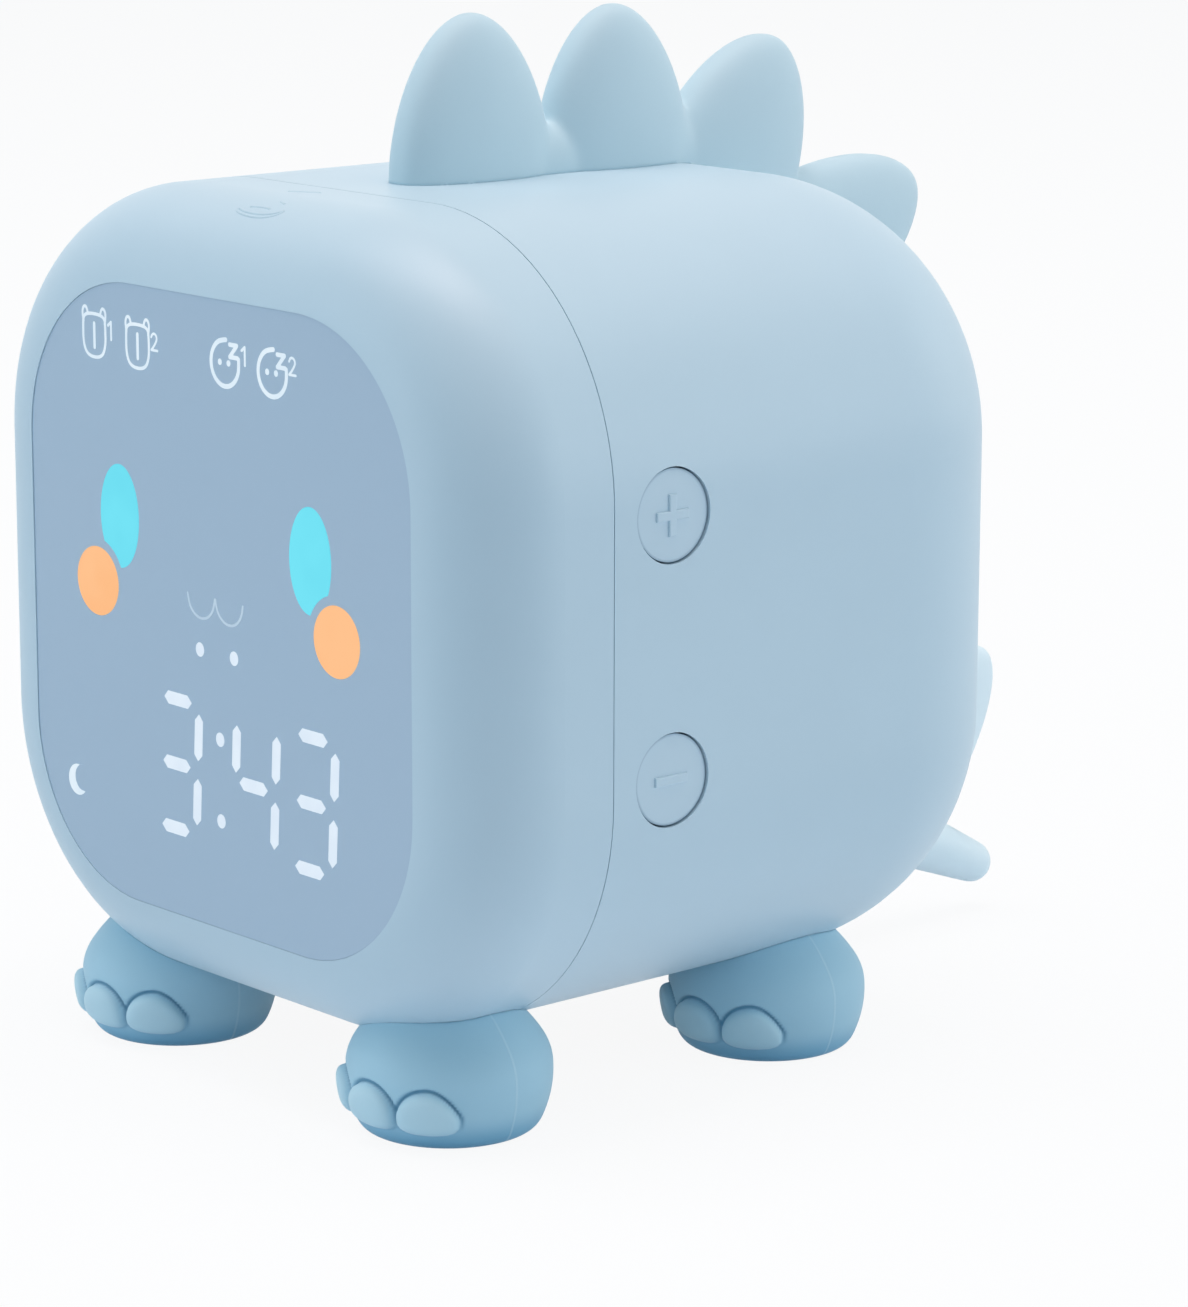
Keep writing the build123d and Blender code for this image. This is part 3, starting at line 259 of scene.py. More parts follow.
def silicone_paint(name, low, high, foot=None):
    """Soft moulded silicone with a dusty bloom; a foot colour adds the paws' painted shade near the ground and
    in their grooves, their painted highlight on the toes, and their mould line.
    """
    paint = Paint(name)
    drift = paint.noise(SILICONE_DRIFT)
    shade = paint.mix(drift, colour(*low), colour(*high))
    grain = paint.noise(SILICONE_GRAIN, GRAIN_DETAIL) * SILICONE_GRAIN_SHARE
    if foot:
        # Painted shade: darker towards the ground
        shade = paint.mix(paint.axis("Z").step(0, PAW_PAINTED_SHADE_TOP), colour(*foot), shade)
        along = paint.axis("Y")
        near, far = (abs(along - line) for line in PAW_LINES)
        ridge = 1 - near.least(far).step(*PAW_LINE_HALF_WIDTHS)
        shade = paint.mix(ridge * PAW_LINE_SHARE, shade, colour(*PAW_LINE_SHADE))
        grain = grain + ridge
        # Painted highlight on the toe pads, and painted shade in the grooves round them
        painted_relief_light = Value(paint, paint.node("ShaderNodeAttribute", {"attribute_name": "toe_painted_light"}).outputs["Fac"])
        shade = paint.mix(painted_relief_light.clamp() * TOE_PAINTED_HIGHLIGHT_SHARE, shade, colour(*TOE_PAINTED_HIGHLIGHT))
        shade = paint.mix((0 - painted_relief_light).clamp(), shade, colour(*GROOVE_PAINTED_SHADE))
    paint.set(
        Base_Color=shade,
        Roughness=drift * SILICONE_ROUGHNESS_DRIFT + SILICONE_ROUGHNESS,
        Sheen_Weight=BLOOM_WEIGHT,
        Sheen_Roughness=BLOOM_ROUGHNESS,
        Sheen_Tint=BLOOM_TINT,
    )
    paint.bump(grain, SILICONE_GRAIN_STRENGTH, SILICONE_GRAIN_DEPTH)
    return paint.material


CASE_ROUGHNESS = 0.38
CASE_DRIFT = 60
case_finish = plain_paint("case_satin", (193, 216, 228), (197, 220, 232), CASE_ROUGHNESS, CASE_DRIFT)
# The crest's colour is raised to make up for the little light its upright sides get from the lamps: partly
# painted light
crest_finish = silicone_paint("crest_silicone", (197, 221, 231), (203, 227, 236))
# The tail's silicone is paler than the crest's as painted light, standing in for light that shines through it
# from behind
tail_painted_backlight_finish = silicone_paint("tail_silicone", (227, 245, 251), (233, 248, 253))
silicone_finish = silicone_paint("paw_silicone", (176, 216, 233), (182, 221, 237), PAW_PAINTED_SHADE)
window_finish = plain_paint("window_matte", (177, 199, 217), (179, 201, 219), 0.45, 60)
board_finish = plain_paint("board_green", (20, 82, 48), (26, 96, 56), 0.4, 300)
chip_finish = plain_paint("chip_black", (20, 20, 22), (28, 28, 30), 0.5, 900)
steel_finish = plain_paint("steel_plated", (170, 172, 176), (196, 198, 202), 0.3, 700, metallic=1.0)
black_finish = plain_paint("black_plastic", (22, 22, 24), (32, 32, 34), 0.45, 500)
white_finish = plain_paint("white_nylon", (214, 212, 204), (226, 224, 216), 0.5, 300)
foam_finish = plain_paint("black_foam", (30, 30, 32), (44, 44, 46), 0.95, 1500, bump=0.6)
paper_finish = plain_paint("paper_cone", (30, 30, 31), (46, 45, 44), 0.9, 800, bump=0.5)
battery_finish = plain_paint("battery_film", (52, 108, 172), (60, 118, 182), 0.3, 200, coat=0.4)
copper_finish = plain_paint("copper_foil", (196, 134, 84), (214, 150, 98), 0.35, 500, metallic=1.0)
lead_finish = plain_paint("red_insulation", (176, 34, 30), (190, 40, 34), 0.45, 400)
ribbon_finish = plain_paint("ribbon_white", (222, 222, 216), (232, 232, 228), 0.4, 300)
led_finish = plain_paint("diode_resin", (240, 232, 190), (248, 242, 206), 0.3, 900)

# The caps of the buttons, and the band of painted shade along each cap's edge, where the gap round it lies
CAP_RADIUS = 4.9 * MM
CAP_EDGE = 0.4 * MM
CAP_GAP_PAINTED_SHADE = (112, 146, 170)
CAP_GAP_PAINTED_SHADE_SHARE = 0.6


def button_paint_with_gap_shade(name, low, high):
    """The case's finish, with painted shade where each cap's edge runs into the gap round it."""
    paint = Paint(name)
    drift = paint.noise(CASE_DRIFT)
    reach = None
    for cap in ("plus_button", "minus_button"):
        lowest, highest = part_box(cap)
        across = paint.axis("Y") - (lowest[1] + highest[1]) / 2
        up = paint.axis("Z") - (lowest[2] + highest[2]) / 2
        away = (across * across + up * up).math("SQRT")
        reach = away if reach is None else reach.least(away)
    # Painted shade of the gap round each cap, along its edge
    edge = reach.step(CAP_RADIUS - CAP_EDGE, CAP_RADIUS)
    shade = paint.mix(drift, colour(*low), colour(*high))
    paint.set(
        Base_Color=paint.mix(edge * CAP_GAP_PAINTED_SHADE_SHARE, shade, colour(*CAP_GAP_PAINTED_SHADE)),
        Roughness=drift * ROUGHNESS_DRIFT + CASE_ROUGHNESS,
    )
    paint.bump(paint.noise(CASE_DRIFT * GRAIN_FINENESS, GRAIN_DETAIL), GRAIN_STRENGTH, GRAIN_DEPTH)
    return paint.material


button_finish = button_paint_with_gap_shade("button_satin_gap_shaded", (195, 217, 229), (199, 221, 233))

# Lit marks: how their noise spreads from the low colour to the high one
GLOW_SPREAD = (0.35, 0.65)
GLOW_ROUGHNESS = 0.6


def glow_paint(name, low, high, drift_scale):
    """A mark lit from behind, a little uneven as its diffuser spreads the light; on the printed mouth this glow
    is painted light.
    """
    paint = Paint(name)
    level = paint.noise(drift_scale).step(*GLOW_SPREAD)
    paint.set(
        Base_Color=(0, 0, 0, 1),
        Roughness=GLOW_ROUGHNESS,
        Specular_IOR_Level=0.0,
        Emission_Color=paint.mix(level, colour(*low), colour(*high)),
        Emission_Strength=1.0,
    )
    return paint.material


eye_finish = glow_paint("eye_glow", (112, 223, 242), (117, 228, 246), 120)
cheek_finish = glow_paint("cheek_glow", (254, 190, 136), (255, 195, 143), 120)
digit_finish = glow_paint("digit_glow", (221, 235, 249), (227, 240, 252), 200)
sign_finish = glow_paint("sign_glow", (219, 236, 249), (228, 242, 252), 200)
# The mouth is a print, not a light: its glow is painted light that shows it paler
mouth_painted_glow_finish = glow_paint("mouth_print_painted_glow", (184, 206, 225), (190, 211, 229), 400)

SLOT_FINISH = {
    "case_plastic": case_finish,
    "button_plastic": button_finish,
    "soft_silicone": silicone_finish,
    "window_plastic": window_finish,
    "film": window_finish,
    "mask_plastic": white_finish,
    "eye_light": white_finish,
    "cheek_light": white_finish,
    "digit_light": white_finish,
    "led": led_finish,
    "board": board_finish,
    "chip": chip_finish,
    "steel": steel_finish,
    "switch_plastic": black_finish,
    "white_plastic": white_finish,
    "foam": foam_finish,
    "paper": paper_finish,
    "battery_film": battery_finish,
    "copper": copper_finish,
    "lead": lead_finish,
    "ribbon": ribbon_finish,
}


def finish_nodes():
    """Every carried-over node gets the finish of its material slot."""
    slots = {row["node"]: row["material_slot"] for row in frame["record"]["subparts"]}
    for name, node in frame["nodes"].items():
        node.data.materials.clear()
        node.data.materials.append(SLOT_FINISH[slots[name]])


def case_depth(point):
    """How deep a point in millimetres lies below the case's skin; negative outside it."""
    across = abs(point.x) - (SIDE_X - CORNER_RADIUS)
    up = abs(point.z - MIDDLE_Z) - ((TOP_Z - BOTTOM_Z) / 2 - CORNER_RADIUS)
    if across > 0 and up > 0:
        inset = CORNER_RADIUS - math.hypot(across, up)
    else:
        inset = CORNER_RADIUS - max(across, up)
    if point.y < MIDDLE_Y:
        from_end, rim = point.y - FRONT_Y, FRONT_RIM
    else:
        from_end, rim = BACK_Y - point.y, REAR_RIM
    if inset < rim and from_end < rim:
        return rim - math.hypot(rim - inset, rim - from_end)
    return min(inset, from_end)


# How far apart the case's skin is probed for its direction, and how near merged points lie
SKIN_STEP = 0.05
SKIN_MERGE = 0.04


def case_outward(point):
    """The direction straight out of the case at a point."""
    steps = (Vector(axis) * SKIN_STEP for axis in ((1, 0, 0), (0, 1, 0), (0, 0, 1)))
    return -Vector((case_depth(point + step) - case_depth(point - step) for step in steps)).normalized()


def rest_on_case(mesh):
    """Lifts every vertex that lies below the case's skin onto it, and merges those that meet there."""
    for vertex in mesh.verts:
        depth = case_depth(vertex.co)
        if depth > 0:
            vertex.co += case_outward(vertex.co) * depth
    bmesh.ops.remove_doubles(mesh, verts=mesh.verts, dist=SKIN_MERGE)


# Soft leaves: fuller than a ball across their thickness, and more pointed seen from the side
LEAF_BLUNT = 2.5
LEAF_POINT = 1.82
LEAF_DIVISIONS = 6
# Points nearer than this are one point
SEAM_MERGE = 0.001


def soft_leaf(mesh, half_sizes, sink, place):
    """An upright soft leaf, cut off level a little below its foot and put in place by a matrix."""
    leaf = bmesh.new()
    bmesh.ops.create_icosphere(leaf, subdivisions=LEAF_DIVISIONS, radius=1)
    for vertex in leaf.verts:
        across, along, up = vertex.co
        round_part = math.hypot(along, up)
        if round_part > 0:
            powers = abs(along / round_part) ** LEAF_POINT + abs(up / round_part) ** LEAF_POINT
            along, up = (value * powers ** (-1 / LEAF_POINT) for value in (along, up))
        across = math.copysign(abs(across) ** (2 / LEAF_BLUNT), across)
        vertex.co = Vector((across * half_sizes[0], along * half_sizes[1], up * half_sizes[2]))
    whole = leaf.verts[:] + leaf.edges[:] + leaf.faces[:]
    bmesh.ops.bisect_plane(leaf, geom=whole, plane_co=(0, 0, -sink), plane_no=(0, 0, 1), clear_inner=True)
    rim = [edge for edge in leaf.edges if edge.is_boundary]
    bmesh.ops.holes_fill(leaf, edges=rim, sides=0)
    bmesh.ops.transform(leaf, matrix=place, verts=leaf.verts)
    add_mesh(mesh, leaf)


def add_mesh(mesh, extra):
    """Moves everything in a second mesh into the first."""
    data = bpy.data.meshes.new("extra")
    extra.to_mesh(data)
    extra.free()
    mesh.from_mesh(data)
    bpy.data.meshes.remove(data)


def curve_through(points, steps, smooth=True, closed=False):
    """A curve near its control points, or straight from one to the next."""
    curve = bpy.data.curves.new("path", "CURVE")
    curve.dimensions = "3D"
    curve.resolution_u = steps
    line = curve.splines.new("NURBS" if smooth else "POLY")
    line.points.add(len(points) - 1)
    for point, place in zip(line.points, points):
        point.co = (*place, 1)
    if smooth:
        line.order_u = 3
        line.use_endpoint_u = not closed
    line.use_cyclic_u = closed
    return curve


def placed(name, data):
    """An object of that name with its data, in the scene."""
    made = bpy.data.objects.new(name, data)
    bpy.context.scene.collection.objects.link(made)
    return made


def take_shape(mesh, holder):
    """Puts the final shape of an object into a mesh and removes the object."""
    made = bpy.data.meshes.new_from_object(holder.evaluated_get(bpy.context.evaluated_depsgraph_get()))
    mesh.from_mesh(made)
    bpy.data.objects.remove(holder)


# The cells of a fused skin, and how often it is softened
SKIN_VOXEL = 0.35
SOFTENINGS = 10


def fuse(mesh):
    """Turns everything in a mesh into one closed and softened skin."""
    data = bpy.data.meshes.new("blank")
    mesh.to_mesh(data)
    mesh.clear()
    blank = placed("blank", data)
    skin = blank.modifiers.new("skin", "REMESH")
    skin.mode = "VOXEL"
    skin.voxel_size = SKIN_VOXEL
    take_shape(mesh, blank)
    axes = {"use_axis_x": True, "use_axis_y": True, "use_axis_z": True}
    for _ in range(SOFTENINGS):
        bmesh.ops.smooth_vert(mesh, verts=mesh.verts, factor=0.5, **axes)


def finished(name, mesh, body, finish, replaced=()):
    """Makes a mesh in millimetres a piece of the clock."""
    bmesh.ops.scale(mesh, vec=(MM, MM, MM), verts=mesh.verts)
    bmesh.ops.recalc_face_normals(mesh, faces=mesh.faces)
    data = bpy.data.meshes.new(name)
    mesh.to_mesh(data)
    mesh.free()
    data.shade_smooth()
    data.materials.append(finish)
    piece = placed(name, data)
    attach(piece, body)
    if replaced:
        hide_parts(*replaced)
    return piece


# Crest: four soft lobes whose feet follow the case over its top and round its rear rim
CREST_FRONT_Y = FRONT_Y + 25.1
CREST_STRAIGHT = BACK_Y - REAR_RIM - CREST_FRONT_Y
# Each lobe's middle along the crest, its half width and its height
LOBES = ((10.5, 10.5, 17.9), (31.0, 10.5, 17.9), (47.9, 10.4, 17.9), (63.6, 10.4, 22.6))
CREST_HALF = 4.8
SADDLE_HALF = 3.6
SADDLE_SHARE = 0.7
SADDLE_RISE = 5.4
LOBE_SINK = 3.0


def crest_place(along):
    """The frame on the case's skin at a distance along the crest: X across, Y along, Z out."""
    turn = max(0, along - CREST_STRAIGHT) / REAR_RIM
    y = CREST_FRONT_Y + min(along, CREST_STRAIGHT) + REAR_RIM * math.sin(turn)
    z = TOP_Z - REAR_RIM + REAR_RIM * math.cos(turn)
    return Matrix.Translation((0, y, z)) @ Matrix.Rotation(-turn, 4, "X")


def make_crest():
    mesh = bmesh.new()
    for along, half_width, height in LOBES:
        soft_leaf(mesh, (CREST_HALF, half_width, height), LOBE_SINK, crest_place(along))
    for (near, *_), (far, *_) in zip(LOBES, LOBES[1:]):
        half_sizes = (SADDLE_HALF, (far - near) * SADDLE_SHARE, SADDLE_RISE)
        soft_leaf(mesh, half_sizes, LOBE_SINK, crest_place((near + far) / 2))
    fuse(mesh)
    rest_on_case(mesh)
    finished("crest_silicone", mesh, "case", crest_finish, ["crest"])


# Tail: a blunt cone that slopes down behind the case, with one leaf-shaped fin
TAIL_SEAT_ANGLE = math.radians(29.6)
TAIL_SLOPE = math.radians(24.4)
TAIL_SINK = 2
TAIL_LENGTH = 37.4
TAIL_ROOT = 6.2
TAIL_TIP = 2.65
TAIL_SEGMENTS = 96
TAIL_TIP_SEGMENTS = {"u_segments": 64, "v_segments": 48}
FIN_LEAN = math.radians(25)
FIN_PLACE = 20.5
FIN_RISE = 3.0
FIN_SINK = 2.2
FIN_HALF = (2.9, 10.0, 24.6)


def make_tail():
    seat = Vector(
        (
            0,
            BACK_Y - REAR_RIM + REAR_RIM * math.cos(TAIL_SEAT_ANGLE),
            BOTTOM_Z + REAR_RIM - REAR_RIM * math.sin(TAIL_SEAT_ANGLE),
        )
    )
    away = Vector((0, math.cos(TAIL_SLOPE), -math.sin(TAIL_SLOPE)))
    mesh = bmesh.new()
    turned = Matrix.Translation(seat - away * TAIL_SINK) @ Matrix.Rotation(-math.pi / 2 - TAIL_SLOPE, 4, "X")
    half_length = (TAIL_LENGTH + TAIL_SINK) / 2
    bmesh.ops.create_cone(
        mesh,
        cap_ends=True,
        segments=TAIL_SEGMENTS,
        radius1=TAIL_ROOT,
        radius2=TAIL_TIP,
        depth=2 * half_length,
        matrix=turned @ Matrix.Translation((0, 0, half_length)),
    )
    tip = Matrix.Translation(seat + away * TAIL_LENGTH)
    bmesh.ops.create_uvsphere(mesh, **TAIL_TIP_SEGMENTS, radius=TAIL_TIP, matrix=tip)
    fin_foot = seat + away * (TAIL_LENGTH - FIN_PLACE)
    fin_turn = TAIL_SLOPE + FIN_LEAN
    fin_foot += Vector((0, math.sin(fin_turn), math.cos(fin_turn))) * FIN_RISE
    place = Matrix.Translation(fin_foot) @ Matrix.Rotation(-fin_turn, 4, "X")
    soft_leaf(mesh, FIN_HALF, FIN_SINK, place)
    fuse(mesh)
    rest_on_case(mesh)
    finished("tail_silicone", mesh, "case", tail_painted_backlight_finish, ["tail"])


# Paws: a soft dome under each corner, with three toe pads and a fine parting line
SOLE_RADIUS = 6.8
PAW_RADIUS = 10.9
BELLY_Z = 5.6
SHOULDER_RADIUS = 6.0
SHOULDER_Z = 14.4
# The dome's outline from the middle of its sole, as control points of radius and height
PAW_PROFILE = (
    (0, 0),
    (SOLE_RADIUS, 0),
    (PAW_RADIUS - 1.5, 0),
    (PAW_RADIUS - 0.3, BELLY_Z / 2),
    (PAW_RADIUS + 0.2, BELLY_Z),
    (PAW_RADIUS, BELLY_Z + 3),
    (PAW_RADIUS - 1.9, SHOULDER_Z - 3),
    (SHOULDER_RADIUS, SHOULDER_Z),
    (0, SHOULDER_Z + 3),
)
PAW_PROFILE_STEPS = 16
PAW_TURN_STEPS = 256
TOE_TURNS = tuple(math.radians(turn) for turn in (-38, 0, 38))
TOE_HALF_WIDTH = 3.42
TOE_BOTTOM_Z = 1.95
TOE_Z = 3.5
TOE_TOP_Z = 6.7
TOE_LEAN = 1.1
TOE_PROUD = 1.05
# A toe's sides round off steeply, its sole less so, and below its middle it is squarer
TOE_EDGE = 6
TOE_EDGE_LOSS = 3
TOE_SQUARENESS = 3
LEAST_ACROSS = 0.01
GROOVE_REACH = 1.16
GROOVE_DEPTH = 0.35
GROOVE_FADE = 0.6


def toe_relief(around, height):
    """How far the toe pads stand proud of the dome, and their grooves sink, in millimetres."""
    relief = 0
    for turn in TOE_TURNS:
        # The outer toes' crowns lean down on their far side
        across = (around - turn) * PAW_RADIUS / TOE_HALF_WIDTH
        lean = TOE_LEAN * min(1, max(0, math.copysign(across, turn * across))) ** 2 if turn else 0
        across = abs(across)
        up = (height - TOE_Z) / (TOE_TOP_Z - lean - TOE_Z)
        if up > 0:
            reach = math.hypot(across, up)
            edge = TOE_EDGE
        else:
            down = (TOE_Z - height) / (TOE_Z - TOE_BOTTOM_Z)
            reach = (across**TOE_SQUARENESS + down**TOE_SQUARENESS) ** (1 / TOE_SQUARENESS)
            edge = TOE_EDGE - TOE_EDGE_LOSS * min(1, down / max(across, LEAST_ACROSS))
        if reach < 1:
            return TOE_PROUD * math.sqrt(1 - reach**edge)
        if reach < GROOVE_REACH:
            groove = math.sin((reach - 1) / (GROOVE_REACH - 1) * math.pi)
            relief = min(relief, -GROOVE_DEPTH * groove * min(1, max(0, up + GROOVE_FADE)))
    return relief


def make_paw(name, x, y):
    mesh = bmesh.new()
    path = curve_through([(radius, 0, height) for radius, height in PAW_PROFILE], PAW_PROFILE_STEPS)
    take_shape(mesh, placed("profile", path))
    bmesh.ops.spin(
        mesh,
        geom=mesh.verts[:] + mesh.edges[:],
        axis=(0, 0, 1),
        cent=(0, 0, 0),
        angle=2 * math.pi,
        steps=PAW_TURN_STEPS,
        use_merge=True,
    )
    bmesh.ops.remove_doubles(mesh, verts=mesh.verts, dist=SEAM_MERGE)
    # How much painted highlight on the toes, or painted shade in the grooves, each point gets
    painted_relief_light = mesh.verts.layers.float.new("toe_painted_light")
    for vertex in mesh.verts:
        radius = math.hypot(vertex.co.x, vertex.co.y)
        if radius > SOLE_RADIUS / 2:
            relief = toe_relief(math.atan2(vertex.co.x, -vertex.co.y), vertex.co.z)
            share = 1 + relief / radius
            vertex.co.x *= share
            vertex.co.y *= share
            vertex[painted_relief_light] = relief / (TOE_PROUD if relief > 0 else GROOVE_DEPTH)
    bmesh.ops.translate(mesh, vec=(x, y, 0), verts=mesh.verts)
    rest_on_case(mesh)
    finished(f"{name}_paw_silicone", mesh, "case", silicone_finish, [f"{name}_paw"])


# Lit marks on the window: eyes and cheeks, the time, and small signs; and a printed mouth whose glow is painted
# light
MARK_PROUD = 0.03
MARK_SINK = 0.05
MARKS_SHIFT = -0.15
EYE_X, EYE_Z = 16.7, 61.3
EYE_HALF = (3.5, 5.7)
CHEEK_X, CHEEK_Z = 21.0, 53.5
CHEEK_RADIUS = 3.83
CHEEK_GAP = 1.0
DIGIT_SLANT = math.tan(math.radians(3.2))
DIGIT_Z = 35.5
DIGIT_HALF_WIDTH = 3.45
DIGIT_HALF_HEIGHT = 7.17
UPRIGHT_BAR = (5.2, 1.4)
LEVEL_BAR = (4.9, 1.45)
LEVEL_SHIFT = -0.35
BAR_CORNERS = 6
BAR_POINT = 0.9
# The time: where each digit stands, and the bars that are lit in it
TIME = ((-6.7, "3"), (6.9, "4"), (16.8, "3"))
LIT_BARS = {"3": "abgcd", "4": "fgbc"}
COLON_X, COLON_Z = 0.8, 35.1
COLON_RISE = 4.48
# Two dots above the time
DOTS_X, DOTS_Z = 0.45, 48.85
DOTS_REACH = 3.0
DOT_HALF = (0.72, 0.78)
# The mouth: two bows side by side
MOUTH_X, MOUTH_Z = 0.25, 54.7
MOUTH_REACH = 2.45
MOUTH_HALF = (2.4, 2.45)
MOUTH_LINE = 0.14
DISC_SEGMENTS = 48
EYE_SEGMENTS = 192


def lay_on_window(mesh, flat):
    """Puts a flat shape, drawn in X and Y with its faces up, on the window as a thin plate."""
    made = bmesh.ops.extrude_face_region(flat, geom=flat.faces[:])
    lifted = [item for item in made["geom"] if isinstance(item, bmesh.types.BMVert)]
    bmesh.ops.translate(flat, vec=(0, 0, MARK_PROUD + MARK_SINK), verts=lifted)
    stand = Matrix.Translation((0, WINDOW_Y + MARK_SINK, 0)) @ Matrix.Rotation(math.pi / 2, 4, "X")
    bmesh.ops.transform(flat, matrix=stand, verts=flat.verts)
    add_mesh(mesh, flat)


def add_disc(mesh, x, z, half_width, half_height):
    """A lit disc or oval."""
    flat = bmesh.new()
    bmesh.ops.create_circle(flat, cap_ends=True, segments=DISC_SEGMENTS, radius=1)
    bmesh.ops.scale(flat, vec=(half_width, half_height, 1), verts=flat.verts)
    bmesh.ops.translate(flat, vec=(x, z, 0), verts=flat.verts)
    lay_on_window(mesh, flat)


def add_eye(mesh, hand):
    """An upright oval whose lower outer part makes room for the cheek."""
    flat = bmesh.new()
    bmesh.ops.create_circle(flat, cap_ends=True, segments=EYE_SEGMENTS, radius=1)
    bmesh.ops.scale(flat, vec=(*EYE_HALF, 1), verts=flat.verts)
    bmesh.ops.translate(flat, vec=(hand * EYE_X, EYE_Z, 0), verts=flat.verts)
    cheek = Vector((hand * CHEEK_X, CHEEK_Z, 0))
    room = CHEEK_RADIUS + CHEEK_GAP
    for vertex in flat.verts:
        away = vertex.co - cheek
        if away.length < room:
            vertex.co = cheek + away * (room / away.length)
    lay_on_window(mesh, flat)


def add_bar(mesh, x, z, length, width, upright):
    """One pointed bar of a digit, slanted with it."""
    flat = bmesh.new()
    bmesh.ops.create_circle(flat, cap_ends=True, segments=BAR_CORNERS, radius=1)
    for vertex in flat.verts:
        pointed = abs(vertex.co.y) > BAR_POINT
        along = math.copysign(length / 2 if pointed else (length - width) / 2, vertex.co.y)
        across = 0 if pointed else math.copysign(width / 2, vertex.co.x)
        if upright:
            vertex.co = Vector((across + DIGIT_SLANT * (z + along - DIGIT_Z), along, 0))
        else:
            vertex.co = Vector((along + DIGIT_SLANT * (z + across - DIGIT_Z), -across, 0))
        vertex.co += Vector((x, z, 0))
    lay_on_window(mesh, flat)


def add_digit(mesh, x, lit):
    """A seven-bar digit, with only its lit bars."""
    level = {"a": 1, "g": 0, "d": -1}
    upright = {"f": (-1, 1), "b": (1, 1), "e": (-1, -1), "c": (1, -1)}
    for bar in lit:
        if bar in level:
            add_bar(mesh, x + LEVEL_SHIFT, DIGIT_Z + level[bar] * DIGIT_HALF_HEIGHT, *LEVEL_BAR, False)
        else:
            side, rise = upright[bar]
            place_x, place_z = x + side * DIGIT_HALF_WIDTH, DIGIT_Z + rise * DIGIT_HALF_HEIGHT / 2
            add_bar(mesh, place_x, place_z, *UPRIGHT_BAR, True)


# How finely drawn lines and their round ends are made
LINE_STEPS = 8
LINE_ROUNDNESS = 2
LINE_END_SEGMENTS = {"u_segments": 12, "v_segments": 8}


def round_line(points, half_width, closed=False, smooth=True):
    """A round bar with round ends, through or near its points."""
    curve = curve_through(points, LINE_STEPS, smooth, closed)
    curve.bevel_depth = half_width
    curve.bevel_resolution = LINE_ROUNDNESS
    curve.use_fill_caps = True
    drawn = bmesh.new()
    take_shape(drawn, placed("stroke", curve))
    bmesh.ops.remove_doubles(drawn, verts=drawn.verts, dist=SEAM_MERGE)
    for end in () if closed else (points[0], points[-1]):
        bmesh.ops.create_uvsphere(drawn, **LINE_END_SEGMENTS, radius=half_width, matrix=Matrix.Translation(end))
    return drawn


def add_stroke(mesh, points, half_width, closed=False, smooth=True):
    """A thin drawn line through or near its points, in X and Z on the window."""
    drawn = round_line([(x, 0, z) for x, z in points], half_width, closed, smooth)
    bmesh.ops.scale(drawn, vec=(1, MARK_PROUD / half_width, 1), verts=drawn.verts)
    bmesh.ops.translate(drawn, vec=(0, WINDOW_Y, 0), verts=drawn.verts)
    add_mesh(mesh, drawn)


def ring_points(x, z, half_width, half_height, start=0, end=360, count=12):
    """Points on an oval from one angle to another, in degrees from its right, upwards."""
    angles = (math.radians(start + (end - start) * step / count) for step in range(count + 1))
    return [(x + half_width * math.cos(angle), z + half_height * math.sin(angle)) for angle in angles]


# The alarm sign, drawn about its middle: a bedside clock's body, its right bell and its hand
ALARM_BODY = [(-1, 0.35), (-0.95, 0.92), (0, 1.02), (0.95, 0.92), (1, 0.35)]
ALARM_BODY += [(1, -0.5), (0.6, -1.05), (-0.6, -1.05), (-1, -0.5)]
ALARM_BODY_HALF = (2.05, 2.3)
ALARM_BODY_LINE = 0.19
ALARM_BELL = ((1.15, 2.3), (1.35, 3.0), (1.95, 2.95), (2.2, 2.2), (1.95, 1.35))
ALARM_BELL_LINE = 0.17
ALARM_HAND = ((0, 1.25), (0, -1.35))
ALARM_HAND_LINE = 0.22
ALARM_NUMBER = (3.0, 0.75)

# The snooze sign: a ring that is open at its upper right, two eyes and a sleep sign
SLEEP_HALF = (2.45, 2.5)
SLEEP_FROM, SLEEP_TO = 85, 375
SLEEP_LINE = 0.26
SLEEP_EYES = (-0.1, 0.05)
SLEEP_EYE_REACH = 0.75
SLEEP_EYE_HALF = (0.32, 0.34)
SLEEP_MARK = ((0.85, 2.05), (2.1, 2.05), (0.85, 0.75), (2.2, 0.75))
SLEEP_MARK_LINE = 0.24
SLEEP_NUMBER = (3.35, 1.1)

# The small numbers
ONE = ((-0.45, 0.55), (0.1, 0.95), (0.1, -0.95))
ONE_LINE = 0.16
TWO_BOW_Z = 0.4
TWO_BOW_RADIUS = 0.5
TWO_BOW_FROM, TWO_BOW_TO, TWO_BOW_COUNT = 170, -40, 6
TWO_STEM = ((-0.1, -0.55), (-0.5, -0.9))
TWO_FOOT = ((-0.5, -0.9), (0.6, -0.9))
TWO_LINE = 0.14


def moved(points, x, z):
    """The points, with their own middle at x and z."""
    return [(x + across, z + up) for across, up in points]


def add_alarm_sign(mesh, x, z, number):
    """A small bedside clock with two bells and one hand, and its number."""
    half_width, half_height = ALARM_BODY_HALF
    body = [(across * half_width, up * half_height) for across, up in ALARM_BODY]
    add_stroke(mesh, moved(body, x, z), ALARM_BODY_LINE, closed=True)
    for hand in (-1, 1):
        add_stroke(mesh, moved([(hand * across, up) for across, up in ALARM_BELL], x, z), ALARM_BELL_LINE)
    add_stroke(mesh, moved(ALARM_HAND, x, z), ALARM_HAND_LINE, smooth=False)
    add_small_number(mesh, x + ALARM_NUMBER[0], z + ALARM_NUMBER[1], number)


